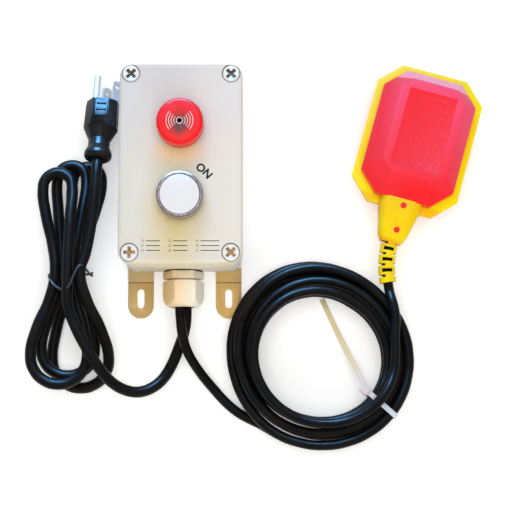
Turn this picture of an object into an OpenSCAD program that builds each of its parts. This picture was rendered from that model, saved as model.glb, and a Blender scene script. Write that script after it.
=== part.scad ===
// Sump pit level alarm: a wall box with a flashing sounder and a lit push button,
// a cable gland, two slotted mounting lugs, a hanked power cord with its moulded plug,
// and a coiled cable that ends in a tilt float switch.
// Frame: millimetres, origin at the middle of the box's back face, +Z out of the lid,
// +Y along the box away from the gland. Everything lies on the plane z = 0.

/* [Enclosure] */
// Width of the box
box_w = 80; // [76:1:90]
// Length of the box
box_l = 130; // [126:1:140]
// Height of the base tub
base_h = 54; // [50:1:60]
// Height of the lid
lid_h = 16; // [12:1:20]
// Wall of the tub and the lid
wall = 3; // [2.6:0.2:3.4]
// Thickness of the lid's face
lid_face = 3; // [2.5:0.5:4]
// Corner radius in plan
corner_r = 8; // [7:0.5:9]
// Taper of each side wall towards the back
draft = 1.5; // [0.5:0.25:2]
// Rounding of the lid's upper edge
lid_round = 2.5; // [1:0.5:3]
// Rounding of the tub's rear edge
back_round = 2; // [1:0.5:2.5]
// Distance of the lid screws from the sides
screw_in_x = 7.5; // [7:0.25:8]
// Distance of the lid screws from the ends
screw_in_y = 6.5; // [6:0.25:7]
// Diameter of the lid screws' heads
screw_head_d = 11.2; // [9:0.2:12]
// Diameter of the lid screws' shanks
screw_d = 4; // [3.5:0.25:4.5]
// Length of the lid screws' shanks
screw_l = 28; // [24:1:34]
// Height of the sealing ring in the rim
seal_h = 1.5; // [1:0.25:2]

/* [Flashing sounder] */
// Place of the sounder along the box
beacon_y = 24; // [22:0.5:26]
// Diameter of the red cap
cap_d = 30; // [29:0.5:31]
// Height of the red cap
cap_h = 15; // [13:0.5:18]
// Wall of the red cap
cap_wall = 1.8; // [1.4:0.1:2]
// Sound hole in the cap
sound_hole_d = 2.6; // [2:0.2:3]
// Depth of the sounder's barrel behind the panel
beacon_depth = 30; // [24:1:34]

/* [Lit push button] */
// Place of the button along the box
button_y = -22.6; // [-24:0.2:-21]
// Diameter of the bright bezel
bezel_d = 30; // [29:0.5:31]
// Height of the bezel
bezel_h = 10; // [9:0.5:12]
// Diameter of the lens
lens_d = 25.5; // [24.5:0.1:25.8]
// Height of the lens's face above the bezel
lens_rise = 1.2; // [0.6:0.1:2]
// Stroke of the button
button_travel = 3; // [2:0.25:3.5]
// Diameter of the plunger's stem
stem_d = 14; // [12:0.5:14.5]
// Depth of the button's barrel behind the panel
button_depth = 22; // [20:1:24]
// Turns of the return spring
spring_turns = 5; // [4:1:6]

/* [Panel fitting] */
// Diameter of the barrels through the panel
barrel_d = 22; // [21:0.5:22.3]
// Clearance round a barrel in the panel
barrel_gap = 0.2; // [0.15:0.05:0.3]
// Thickness of the panel seals
panel_seal_t = 1; // [0.8:0.1:1.2]
// Thickness of the panel nuts
panel_nut_t = 5; // [4:0.5:6]
// Diameter of the panel nuts
panel_nut_d = 28; // [27:0.5:29]

/* [Cable gland] */
// Height of the gland's axis above the back
gland_z = 21; // [20:0.5:23]
// Width across the flats of the gland
gland_af = 24; // [23:0.5:25]
// Diameter of the gland's thread
gland_thread_d = 20; // [19:0.5:20.4]
// Thickness of the rubber washer
washer_t = 0.8; // [0.6:0.1:1.4]
// Thickness of the fixed hexagon
gland_hex_t = 5.2; // [4:0.2:6]
// Gap between the fixed hexagon and the dome nut
gland_gap = 1.2; // [1:0.1:1.6]
// Length of the dome nut
dome_l = 17.6; // [16:0.4:19]
// Turn of the dome nut about its axis
dome_turn = -8; // [-15:1:15]

/* [Mounting lugs] */
// Distance from each lug's middle to the side of the box
lug_in = 10; // [9.5:0.25:11]
// Width of a lug
lug_w = 17.4; // [16:0.2:18]
// Thickness of the sheet
lug_t = 1.6; // [1.2:0.2:1.8]
// Step of the sheet behind the box
lug_step = 2; // [1.8:0.1:2.2]
// Reach of the lug past the box
lug_reach = 30.5; // [28:0.5:32]
// Width of the slot
slot_w = 5; // [4.5:0.25:6]
// Length of the slot
slot_l = 13; // [11:0.5:14]
// Distance of the lug's own screw from the end of the box
lug_screw_in = 8; // [7:0.5:9]

/* [Power cord] */
// Diameter of the power cord
cord_d = 7.6; // [7.2:0.1:7.7]
// Rise from one layer of the hank to the next
hank_rise = 8.3; // [8.2:0.1:9]
// Half the width between the strands at the waist
waist_half = 6; // [5.5:0.25:7]
// Shift of the strands at the waist from loop to loop
waist_step = 2.83; // [2.6:0.05:3]
// Thickness of the tie round the hank
hank_tie_t = 1; // [0.8:0.1:1.2]
// Width of the tie round the hank
hank_tie_w = 4; // [3:0.5:5]

/* [Plug] */
// Length of the plug's body
plug_l = 42; // [40:1:46]
// Roll of the plug about its own axis
plug_roll = 37; // [30:1:40]
// Dip of the plug's nose
plug_dip = 15; // [14:0.5:16]
// Turn of the plug in plan
plug_lean = 3; // [0:0.5:5]
// Spacing of the two blades
blade_pitch = 12.7; // [12.5:0.1:12.9]
// Width of a blade
blade_w = 6.35; // [6.1:0.05:6.5]
// Thickness of a blade
blade_t = 1.5; // [1.4:0.05:1.6]
// Length of a blade
blade_l = 17; // [15.9:0.1:17.5]
// Diameter of the ground pin
ground_d = 4.8; // [4.7:0.05:4.9]
// Length of the ground pin
ground_l = 20.6; // [19:0.1:21]
// Distance from the ground pin to the blades
ground_off = 11.9; // [11.7:0.05:12]

/* [Float cable coil] */
// Diameter of the float cable
cable_d = 6.6; // [6.2:0.1:6.6]
// Step from turn to turn and from layer to layer
coil_pitch = 7.15; // [7.1:0.05:7.4]
// Centreline radius of the innermost turn
coil_r_in = 42; // [41:0.5:44]
// Outward bulge of the turns at the coil's left
coil_wide = 1.6; // [0:0.2:1.6]
// Outward bulge of the turns at the coil's right
coil_bulge = 1.6; // [0:0.2:1.6]
// Inward tuck of the turns below the float's boot
coil_tuck = 2.3; // [0:0.1:3]
// Spread of the turns at the coil's near side
coil_spread_near = 1.9; // [0:0.1:3]
// Spread of the turns at the coil's far side
coil_spread_far = 5; // [0:0.2:6]
// Turns in one layer of the coil
coil_turns = 2.5; // [2.5:1:3.5]
// Width of the nylon tie
tie_w = 3.5; // [3:0.1:4]
// Thickness of the nylon tie
tie_t = 1.1; // [0.9:0.1:1.3]

/* [Float switch] */
// Width of the float's flange
flange_w = 73.3; // [70:0.5:78]
// Length of the float's flange
flange_l = 96.5; // [92:0.5:102]
// Corner cut of the flange
flange_cut = 14.3; // [12:0.1:16]
// Thickness of the flange
flange_t = 6; // [5:0.5:7]
// Width of the float's covers
cover_w = 63.5; // [60:0.5:66]
// Length of the float's covers
cover_l = 86; // [82:0.5:90]
// Height of each cover above the flange
cover_h = 18.5; // [17:0.5:20]
// Wall of the covers
cover_wall = 2.4; // [2:0.1:2.8]
// Turn of the float in plan
float_turn = 15.5; // [15:0.1:16]
// Length of the neck past the flange
neck_l = 23.5; // [21:0.5:26]
// Width of the neck at the flange
neck_w = 28; // [26:0.5:30]
// Diameter of the cable boot
boot_d = 11.3; // [10.8:0.1:12]
// Radius of the boot's bend
boot_bend = 63.6; // [60:0.2:68]
// Angle of the boot's bend
boot_sweep = 24.5; // [22:0.5:26]
// Diameter of the float's steel ball
ball_d = 12.7; // [12:0.1:13]
// Travel of the ball in its track
ball_travel = 24; // [20:1:26]
// Slope of the ball's track
track_slope = 4; // [2:0.5:5]

/* [Clearances] */
// Between parts that drop together
fit = 0.1; // [0.05:0.01:0.15]
// Round parts that slide
slide_fit = 0.3; // [0.2:0.05:0.4]
// Between a cord and what holds it
cord_fit = 0.1; // [0.08:0.01:0.15]

/* [Hidden] */
$fn = 64;
HULL_FN = 32;
EPS = 0.01;
edge_step = 30; // degrees from point to point round a turned edge
edge_step_fine = 15;
PASS = 1; // overlap of a cutter past the face it opens

lid_z = base_h + lid_h; // outer face of the lid
lug_x = box_w / 2 - lug_in;
screw_dx = box_w - 2 * screw_in_x;
screw_dy = box_l - 2 * screw_in_y;
y_end = -box_l / 2; // the wall that carries the gland

// ---------- vectors and swept tubes ----------

function unit(v) = v / norm(v);
function ease(t) = let(c = min(1, max(0, t))) c * c * (3 - 2 * c);
function cosine_ease(t) = (1 - cos(180 * t)) / 2;
function mix(a, b, t) = a + (b - a) * t;
function path_length(path) =
    len(path) < 2 ? 0 : sum([for (i = [1:len(path) - 1]) norm(path[i] - path[i - 1])]);
function sum(v, i = 0) = i >= len(v) ? 0 : v[i] + sum(v, i + 1);

// Direction of a path at one of its points.
function heading(path, i) =
    i == 0 ? unit(path[1] - path[0])
    : i == len(path) - 1 ? unit(path[i] - path[i - 1])
    : unit(unit(path[i + 1] - path[i]) + unit(path[i] - path[i - 1]));

// A closed solid with the given cross-section, swept level along a path.
// The section is a list of [sideways, up] points, anticlockwise as seen from behind.
module sweep(path, section) {
    n = len(section);
    rings = len(path);
    points = [
        for (i = [0:rings - 1])
            let(t = heading(path, i), s = unit(cross(t, [0, 0, 1])), u = cross(s, t))
                for (p = section) path[i] + p[0] * s + p[1] * u
    ];
    sides = [
        for (i = [0:rings - 2], j = [0:n - 1])
            let(a = i * n + j, b = i * n + (j + 1) % n)
                each [[a, b, a + n], [b, b + n, a + n]]
    ];
    caps = [
        for (j = [1:n - 2])
            each [[0, j + 1, j], [(rings - 1) * n, (rings - 1) * n + j, (rings - 1) * n + j + 1]]
    ];
    polyhedron(points = points, faces = concat(sides, caps));
}

function round_section(d, sides) =
    [for (j = [0:sides - 1]) d / 2 * [cos(360 * (j + 0.5) / sides), sin(360 * (j + 0.5) / sides)]];

module tube(path, d, sides) {
    sweep(path, round_section(d, sides));
}

// Least distance between two stretches of a path that are more than `apart` points from each other.
function least_gap(path, apart, d) = min([
    for (i = [0:len(path) - 1])
        for (j = [i + apart:1:len(path) - 2])
            point_to_segment(path[i], path[j], path[j + 1])
]) - d;
function point_to_segment(p, a, b) =
    let(ab = b - a, t = min(1, max(0, ((p - a) * ab) / (ab * ab)))) norm(p - a - t * ab);

// ---------- plain shapes ----------

module rounded_rect(w, l, r) {
    square([w - 2 * r, l], center = true);
    square([w, l - 2 * r], center = true);
    for (x = [-1, 1], y = [-1, 1])
        translate([x * (w / 2 - r), y * (l / 2 - r)])
            circle(r);
}

module ring(outer_d, inner_d, h) {
    difference() {
        cylinder(d = outer_d, h = h);
        translate([0, 0, -PASS])
            cylinder(d = inner_d, h = h + 2 * PASS);
    }
}

module hexagon(across_flats, h) {
    cylinder(d = across_flats / cos(30), h = h, $fn = 6);
}

// ---------- enclosure ----------

boss_d = 11;
lid_post_d = 12.4;
rim_lip = 1.4; // width of the tub's outer lip, outside the sealing ring
head_h = 2.4;
head_depth = head_h + 0.2;
gland_pad_d = 31;
gland_pad_t = 6; // wall and pad together, where the gland is clamped
lug_block_h = 13;
terminal_l = 40;
terminal_w = 16;
terminal_h = 12;
terminal_z = 8;
terminal_y = 20;
pillar_d = 6;
screw_angles = [0, 45, 45, 45]; // turn of each head, from the lower left round the lid
screw_places = [
    [-screw_dx / 2, -screw_dy / 2], [screw_dx / 2, screw_dy / 2],
    [-screw_dx / 2, screw_dy / 2], [screw_dx / 2, -screw_dy / 2]
];

module slab(inset, z, r) {
    translate([0, 0, z])
        linear_extrude(EPS)
            rounded_rect(box_w - 2 * inset, box_l - 2 * inset, r, $fn = HULL_FN);
}

// The tub's outer form: rounded rear edge, walls that widen towards the rim.
module tub_form() {
    hull() {
        for (a = [0, 30, 60, 90])
            slab(draft + back_round * (1 - sin(a)), back_round * (1 - cos(a)), corner_r);
        slab(0, base_h - EPS, corner_r);
    }
}

module lid_form() {
    hull() {
        slab(0, base_h, corner_r);
        for (a = [0, 30, 60, 90])
            slab(lid_round * (1 - cos(a)), lid_z - lid_round * (1 - sin(a)) - EPS, corner_r);
    }
}

module tub_cavity() {
    hull() {
        slab(wall + draft, wall, corner_r - wall / 2);
        slab(wall, base_h + PASS, corner_r - wall / 2);
    }
}

module at_gland(d) {
    translate([0, y_end - d, gland_z])
        rotate([90, 0, 0])
            children();
}

module lug_recess() {
    depth = lug_step + lug_t + fit;
    width = lug_w + 2 * slide_fit;
    reach = lug_screw_in + lug_w / 2;
    translate([-width / 2, y_end - PASS, -PASS])
        cube([width, reach + PASS + slide_fit, depth + PASS]);
}

module enclosure_base() {
    color("gainsboro")
        difference() {
            union() {
                difference() {
                    tub_form();
                    tub_cavity();
                }
                for (p = screw_places)
                    translate([p[0], p[1], wall / 2])
                        cylinder(d = boss_d, h = base_h - seal_h - wall / 2);
                for (x = [-1, 1])
                    translate([x * lug_x - lug_w / 2 - (x + 1) * 1, y_end + wall, wall / 2])
                        cube([lug_w + 2, lug_screw_in + lug_w / 2, lug_block_h - wall / 2]);
                for (x = [-1, 1])
                    translate([x * terminal_l / 3, terminal_y, wall / 2])
                        cylinder(d = pillar_d, h = terminal_z - wall / 2);
                at_gland(0)
                    translate([0, 0, -gland_pad_t])
                        cylinder(d = gland_pad_d, h = gland_pad_t);
            }
            // seat of the sealing ring
            translate([0, 0, base_h - seal_h])
                linear_extrude(seal_h + PASS)
                    rounded_rect(box_w - 2 * rim_lip, box_l - 2 * rim_lip, corner_r - rim_lip);
            for (p = screw_places)
                translate([p[0], p[1], lid_z - head_h - screw_l - PASS])
                    cylinder(d = screw_d + 2 * fit, h = screw_l);
            at_gland(PASS)
                translate([0, 0, -gland_pad_t - 2 * PASS])
                    cylinder(d = gland_thread_d + 2 * barrel_gap, h = gland_pad_t + 4 * PASS);
            for (x = [-1, 1])
                translate([x * lug_x, 0, 0]) {
                    lug_recess();
                    translate([0, y_end + lug_screw_in, 0])
                        cylinder(d = lug_screw_d + 2 * fit, h = lug_screw_l + lug_step + PASS);
                }
        }
}

module enclosure_lid() {
    color("whitesmoke")
        difference() {
            lid_form();
            difference() {
                translate([0, 0, base_h - PASS])
                    linear_extrude(lid_h - lid_face + PASS)
                        rounded_rect(box_w - 2 * wall, box_l - 2 * wall, corner_r - wall / 2);
                for (p = screw_places)
                    translate([p[0], p[1], base_h - 2 * PASS])
                        cylinder(d = lid_post_d, h = lid_h + 3 * PASS);
            }
            for (p = screw_places)
                translate([p[0], p[1], base_h - PASS]) {
                    cylinder(d = screw_d + 4 * fit, h = lid_h + 2 * PASS);
                    translate([0, 0, lid_h + PASS - head_depth])
                        cylinder(d = screw_head_d + 4 * fit, h = head_depth + PASS);
                }
            for (y = [beacon_y, button_y])
                translate([0, y, lid_z - lid_face - PASS])
                    cylinder(d = barrel_d + 2 * barrel_gap, h = lid_face + 2 * PASS);
        }
}

module lid_gasket() {
    edge = rim_lip + fit;
    color("dimgray")
        translate([0, 0, base_h - seal_h])
            linear_extrude(seal_h)
                difference() {
                    rounded_rect(box_w - 2 * edge, box_l - 2 * edge, corner_r - edge);
                    rounded_rect(box_w - 2 * wall, box_l - 2 * wall, corner_r - wall);
                }
}

module cross_recess(span, width, depth) {
    for (a = [0, 90])
        rotate([0, 0, a])
            translate([-span / 2, -width / 2, -depth])
                cube([span, width, depth + PASS]);
}

module lid_screws() {
    dome = 0.7; // drop of the head's edge below its crown
    color("white")
        for (i = [0:len(screw_places) - 1])
            translate([screw_places[i][0], screw_places[i][1], lid_z - fit])
                rotate([0, 0, screw_angles[i]])
                    difference() {
                        union() {
                            translate([0, 0, -dome])
                                cylinder(d1 = screw_head_d, d2 = screw_head_d - 2 * dome, h = dome);
                            translate([0, 0, -head_h])
                                cylinder(d = screw_head_d, h = head_h - dome);
                            translate([0, 0, -screw_l])
                                cylinder(d = screw_d, h = screw_l - dome);
                        }
                        cross_recess(screw_head_d * 0.68, screw_head_d * 0.2, head_h * 0.7);
                    }
}

// ---------- parts that both panel devices use ----------

module at_panel(y) {
    translate([0, y, lid_z])
        children();
}

module panel_seal(y, d) {
    color("black")
        at_panel(y)
            ring(d, barrel_d + 2 * fit, panel_seal_t);
}

module panel_nut(y) {
    grips = 12;
    color("darkslategray")
        at_panel(y)
            translate([0, 0, -lid_face - panel_nut_t])
                difference() {
                    ring(panel_nut_d, barrel_d + 2 * fit, panel_nut_t);
                    for (i = [0:grips - 1])
                        rotate([0, 0, 360 * i / grips])
                            translate([panel_nut_d / 2, 0, -PASS])
                                cylinder(d = 2, h = panel_nut_t + 2 * PASS, $fn = 16);
                }
}

// ---------- flashing sounder ----------

base_flange_t = 3;
board_t = 1.6;
board_z = panel_seal_t + base_flange_t;
flange_d = cap_d - 2 * cap_wall - 2 * slide_fit;
sounder_d = 13;
sounder_h = 5;
led_d = 3;
led_h = 4;
leds = 6;
cap_round = 2.5;

// Points of a rounded outer edge, for a body turned about its axis.
function rounded_edge(r, h, round, step) =
    [for (a = [0:step:90]) [r - round + round * cos(a), h - round + round * sin(a)]];

module beacon_cap() {
    r = cap_d / 2;
    inner_r = r - cap_wall;
    color("red")
        at_panel(beacon_y)
            translate([0, 0, panel_seal_t])
                rotate_extrude()
                    polygon(concat(
                        [[r, 0]],
                        rounded_edge(r, cap_h, cap_round, edge_step_fine),
                        [[sound_hole_d / 2, cap_h], [sound_hole_d / 2, cap_h - cap_wall]],
                        [[inner_r - 1, cap_h - cap_wall], [inner_r, cap_h - cap_wall - 1], [inner_r, 0]]
                    ));
}

module beacon_body() {
    bore = 17;
    color("black")
        at_panel(beacon_y)
            difference() {
                union() {
                    translate([0, 0, panel_seal_t])
                        cylinder(d = flange_d, h = base_flange_t);
                    translate([0, 0, -beacon_depth])
                        cylinder(d = barrel_d, h = beacon_depth + panel_seal_t + EPS);
                }
                translate([0, 0, -beacon_depth + wall])
                    cylinder(d = bore, h = beacon_depth + panel_seal_t + base_flange_t);
            }
}

module beacon_board() {
    color("darkred")
        at_panel(beacon_y)
            translate([0, 0, board_z]) {
                cylinder(d = flange_d - 1, h = board_t);
                for (i = [0:leds - 1])
                    rotate([0, 0, 360 * (i + 0.5) / leds])
                        translate([(flange_d + sounder_d) / 4, 0, board_t - EPS])
                            cylinder(d = led_d, h = led_h, $fn = 24);
            }
}

module beacon_sounder() {
    color("saddlebrown")
        at_panel(beacon_y)
            translate([0, 0, board_z + board_t])
                difference() {
                    cylinder(d = sounder_d, h = sounder_h);
                    translate([0, 0, sounder_h / 2])
                        cylinder(d = sound_hole_d, h = sounder_h);
                }
}

// ---------- lit push button ----------

bezel_floor = 2;
bezel_bore = lens_d + 2 * slide_fit;
lens_t = 4.2;
lens_z = panel_seal_t + bezel_h + lens_rise - lens_t; // underside of the lens
barrel_top = lens_z - button_travel - 0.6;
stem_l = 11;
spring_wire = 1;
button_bore = stem_d + 2 * slide_fit;
spring_floor = -button_depth + wall;
contact_l = 30;
contact_w = 20;
contact_h = 17;

module button_bezel() {
    r = bezel_d / 2;
    bore_r = bezel_bore / 2;
    lip = 0.9; // rounding of the bezel's upper rim
    color("silver")
        at_panel(button_y)
            translate([0, 0, panel_seal_t])
                rotate_extrude()
                    polygon(concat(
                        [[barrel_d / 2 + fit, 0], [r, 0]],
                        rounded_edge(r, bezel_h, lip, edge_step),
                        [for (a = [0:45:90]) [bore_r + 0.3 - 0.3 * sin(a), bezel_h - 0.3 + 0.3 * cos(a)]],
                        [[bore_r, bezel_floor], [barrel_d / 2 + fit, bezel_floor]]
                    ));
}

module button_lens() {
    edge = 0.8;
    color("white")
        at_panel(button_y)
            translate([0, 0, lens_z])
                rotate_extrude()
                    polygon(concat(
                        [[0, 0], [lens_d / 2, 0]],
                        rounded_edge(lens_d / 2, lens_t, edge, edge_step),
                        [[0, lens_t]]
                    ));
}

module button_plunger() {
    color("lightgray")
        at_panel(button_y)
            translate([0, 0, lens_z - stem_l])
                difference() {
                    cylinder(d = stem_d, h = stem_l);
                    translate([0, 0, -PASS])
                        cylinder(d = stem_d - 3, h = stem_l / 2);
                }
}

function helix(r, z0, z1, turns, steps) = [
    for (i = [0:turns * steps])
        let(a = 360 * i / steps)
            [r * cos(a), r * sin(a), mix(z0, z1, i / (turns * steps))]
];

module button_spring() {
    r = stem_d / 2 - spring_wire / 2 - 0.1;
    low = spring_floor + spring_wire / 2 + fit;
    high = lens_z - stem_l - spring_wire / 2 - fit;
    color("silver")
        at_panel(button_y)
            tube(helix(r, low, high, spring_turns, 12), spring_wire, 6);
}

module button_body() {
    color("black")
        at_panel(button_y)
            difference() {
                translate([0, 0, -button_depth])
                    cylinder(d = barrel_d, h = button_depth + barrel_top);
                translate([0, 0, spring_floor])
                    cylinder(d = button_bore, h = button_depth + barrel_top);
            }
}

module contact_block() {
    color("darkgreen")
        at_panel(button_y)
            translate([0, 0, -button_depth - contact_h])
                difference() {
                    translate([-contact_w / 2, -contact_l / 2, 0])
                        cube([contact_w, contact_l, contact_h]);
                    for (x = [-1, 1], y = [-1, 1])
                        translate([x * contact_w / 4, y * contact_l * 0.4, contact_h - 4])
                            cylinder(d = 4, h = 4 + PASS, $fn = 24);
                }
}

// ---------- wiring inside ----------

terminal_ways = 4;

module terminal_block() {
    cell = terminal_l / terminal_ways;
    color("ivory")
        translate([-terminal_l / 2, terminal_y - terminal_w / 2, terminal_z])
            difference() {
                cube([terminal_l, terminal_w, terminal_h]);
                for (i = [0:terminal_ways - 1])
                    for (y = [0.25, 0.75])
                        translate([cell * (i + 0.5), terminal_w * y, terminal_h / 2])
                            cylinder(d = 4.4, h = terminal_h, $fn = 24);
                for (i = [1:terminal_ways - 1])
                    translate([cell * i - 0.5, -PASS, terminal_h * 0.7])
                        cube([1, terminal_w + 2 * PASS, terminal_h]);
            }
}

module terminal_screws() {
    cell = terminal_l / terminal_ways;
    color("silver")
        for (i = [0:terminal_ways - 1], y = [0.25, 0.75])
            translate([
                cell * (i + 0.5) - terminal_l / 2,
                terminal_y + terminal_w * (y - 0.5),
                terminal_z + terminal_h / 2
            ])
                difference() {
                    cylinder(d = 4, h = 3.4, $fn = 24);
                    translate([-3, -0.4, 2.4])
                        cube([6, 0.8, 2]);
                }
}

// ---------- cable gland ----------

neck_d = 18.6;
seal_d = 15.2;
seal_l = 13;
locknut_t = 5;
locknut_af = 26;
gland_body_end = washer_t + gland_hex_t + gland_gap + 12; // end of the spigot inside the dome nut
dome_start = washer_t + gland_hex_t + gland_gap;
gland_len = dome_start + dome_l;
seal_start = gland_body_end - seal_l + 1;
mouth_d = 14.8;
pair_gap = 0.29; // between the two cables where they leave the gland
pair_angle = 60; // slope of the line through the two cables
pair_pitch = (cord_d + cable_d) / 2 + pair_gap;
pair_r = (cord_d + cable_d) / 4 + pair_pitch / 2; // of the circle round both cables
function pair_place(d, side) =
    side * (pair_r - d / 2) * [-cos(pair_angle), sin(pair_angle)];
cable_in_gland = pair_place(cable_d, 1); // [x, z] from the gland's axis
cord_in_gland = pair_place(cord_d, -1);

module gland_washer() {
    color("black")
        at_gland(0)
            ring(gland_af + 2, gland_thread_d + 2 * fit, washer_t);
}

module gland_body() {
    inside = gland_pad_t + locknut_t + 2;
    color("whitesmoke")
        at_gland(0)
            difference() {
                union() {
                    translate([0, 0, -inside])
                        cylinder(d = gland_thread_d, h = inside + washer_t + EPS);
                    translate([0, 0, washer_t])
                        hexagon(gland_af, gland_hex_t);
                    translate([0, 0, washer_t])
                        cylinder(d = neck_d, h = gland_body_end - washer_t);
                }
                translate([0, 0, -inside - PASS])
                    cylinder(d = seal_d + 2 * fit, h = inside + gland_body_end + 2 * PASS);
            }
}

module gland_locknut() {
    color("whitesmoke")
        at_gland(0)
            translate([0, 0, -gland_pad_t - locknut_t])
                difference() {
                    hexagon(locknut_af, locknut_t);
                    translate([0, 0, -PASS])
                        cylinder(d = gland_thread_d + 2 * fit, h = locknut_t + 2 * PASS);
                }
}

module cable_holes(depth) {
    for (c = [[cable_d, cable_in_gland], [cord_d, cord_in_gland]])
        translate([c[1][0], c[1][1], -PASS])
            cylinder(d = c[0] + 2 * cord_fit, h = depth + 2 * PASS);
}

module gland_seal() {
    color("dimgray")
        at_gland(0)
            translate([0, 0, seal_start])
                difference() {
                    cylinder(d = seal_d, h = seal_l);
                    cable_holes(seal_l);
                }
}

module gland_nut() {
    across_corners = gland_af / cos(30);
    straight = 9.5;
    nose_r = mouth_d / 2 + 0.9;
    dome_w = across_corners / 2 - nose_r;
    chamfer = 1;
    color("whitesmoke")
        at_gland(0)
            translate([0, 0, dome_start])
                difference() {
                    intersection() {
                        rotate([0, 0, dome_turn])
                            hexagon(gland_af, dome_l);
                        rotate_extrude()
                            polygon(concat(
                                [[0, 0], [across_corners / 2 - chamfer, 0], [across_corners / 2, chamfer]],
                                [for (a = [0:15:90])
                                    [nose_r + dome_w * cos(a), straight + (dome_l - straight) * sin(a)]],
                                [[0, dome_l]]
                            ));
                    }
                    translate([0, 0, -PASS])
                        cylinder(d = neck_d + 2 * fit, h = dome_l - 4 + PASS);
                    cylinder(d = mouth_d, h = dome_l + PASS);
                }
}

// ---------- mounting lugs ----------

lug_screw_d = 3.8;
lug_screw_l = 10;

// Side profile of the sheet, as [y, z] points.
function lug_profile() =
    let(
        inner = lug_screw_in + lug_w / 2, outer = lug_reach, step0 = 2, step1 = 4.6,
        upper = lug_step, knee = 0.6
    )
        [
            [inner, upper], [-step0, upper], [-step1, 0], [-outer, 0],
            [-outer, lug_t], [-step1 - knee + 1.2, lug_t], [-step0 + knee, upper + lug_t],
            [inner, upper + lug_t]
        ];

module lug(x) {
    end_y = y_end - lug_reach + lug_w / 2;
    slot_y = y_end - lug_reach + lug_w / 2 + 4.8;
    color("tan")
        translate([x, 0, 0])
            difference() {
                intersection() {
                    translate([-lug_w / 2, y_end, 0])
                        rotate([90, 0, 90])
                            linear_extrude(lug_w)
                                polygon(lug_profile());
                    translate([0, 0, -PASS])
                        linear_extrude(lug_step + lug_t + 2 * PASS)
                            union() {
                                translate([0, end_y])
                                    circle(d = lug_w);
                                translate([-lug_w / 2, end_y])
                                    square([lug_w, box_l / 2]);
                            }
                }
                translate([0, slot_y, -PASS])
                    linear_extrude(lug_t + lug_step + 2 * PASS)
                        union() {
                            for (s = [-1, 1])
                                translate([0, s * (slot_l - slot_w) / 2])
                                    circle(d = slot_w);
                            square([slot_w, slot_l - slot_w], center = true);
                        }
                translate([0, y_end + lug_screw_in, -PASS])
                    cylinder(d = lug_screw_d + 4 * fit, h = lug_step + lug_t + 2 * PASS);
            }
}

module lug_left() {
    lug(-lug_x);
}

module lug_right() {
    lug(lug_x);
}

module lug_screws() {
    head = lug_step - fit;
    color("silver")
        for (x = [-1, 1])
            translate([x * lug_x, y_end + lug_screw_in, 0])
                difference() {
                    union() {
                        translate([0, 0, fit])
                            cylinder(d = 2 * lug_screw_d, h = head);
                        translate([0, 0, fit])
                            cylinder(d = lug_screw_d, h = lug_screw_l + head);
                    }
                    mirror([0, 0, 1])
                        translate([0, 0, -fit])
                            cross_recess(4.4, 0.9, 1.1);
                }
}

// ---------- power cord ----------

function gland_run(place, inset, outset) = [
    for (d = [inset, outset])
        [place[0], y_end - d, gland_z + place[1]]
];
loops = 3;
lobe_steps = 12; // rings in each lobe of a loop
waist_y = -66;
waist_x = -74.5;
hank_lift = hank_tie_t + 0.5; // room for the tie under the strands
top_level = loops; // both free ends lie on top of the loops
lower_x = [-70, -78, -83];
lower_r = [19.5, 18, 19];
lower_h = [77, 69, 75];
upper_x = [-67.5, -77, -85.5];
upper_r = [10, 10, 10];
upper_h = [75, 74.5, 68];
function level(k) = cord_d / 2 + k * hank_rise;
function waist_at(k) = waist_x - waist_step * k;

// One lobe of a loop, from the waist round its end and back: [sideways share, distance from the waist,
// share of the lobe's own centre], at step j of lobe_steps.
function lobe(j, h, r) =
    let(quarter = lobe_steps / 4, run = h - r)
        j <= quarter ? let(q = j / quarter) [mix(waist_half, r, cosine_ease(q)), run * q, cosine_ease(q)]
        : j < 3 * quarter ? let(a = 90 * (j - quarter) / quarter) [r * cos(a), run + r * sin(a), 1]
        : let(q = (lobe_steps - j) / quarter) [-mix(waist_half, r, cosine_ease(q)), run * q, cosine_ease(q)];

// The first loop comes down from the top level outside all the others; later ones stay level.
function lower_z(k, j) =
    k > 0 ? level(k)
    : mix(level(top_level), level(0), ease((lobe_distance(j, lower_h[0], lower_r[0]) - 18) / 63));
function lobe_distance(j, h, r) =
    let(quarter = lobe_steps / 4, run = h - r)
        j <= quarter ? run * j / quarter : run + r * PI * (j - quarter) / (2 * quarter);
// Each loop climbs one level on its way down the right-hand run of the upper lobe.
function upper_z(k, j) =
    level(k) + hank_rise * ease((lobe_distance_back(j, upper_h[k], upper_r[k])));
function lobe_distance_back(j, h, r) =
    let(quarter = lobe_steps / 4, run = h - r, climb = PI * r * 2 / 3 + run * 2 / 3)
        j <= 5 ? 0
        : j <= 3 * quarter ? r * PI * (j - 5) / (2 * quarter) / climb
        : (PI * r * 2 / 3 + run * (j - 3 * quarter) / quarter) / climb;
function waist_lift(j) = j == 0 || j == lobe_steps ? hank_lift : 0;

function lower_point(k, j) =
    let(p = lobe(j, lower_h[k], lower_r[k]))
        [mix(waist_at(k), lower_x[k], p[2]) + p[0], waist_y - p[1], lower_z(k, j) + waist_lift(j)];
function upper_point(k, j) =
    let(p = lobe(j, upper_h[k], upper_r[k]), w = j < lobe_steps / 2 ? waist_at(k) : waist_at(k + 1))
        [mix(w, upper_x[k], p[2]) - p[0], waist_y + p[1], upper_z(k, j) + waist_lift(j)];

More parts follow.
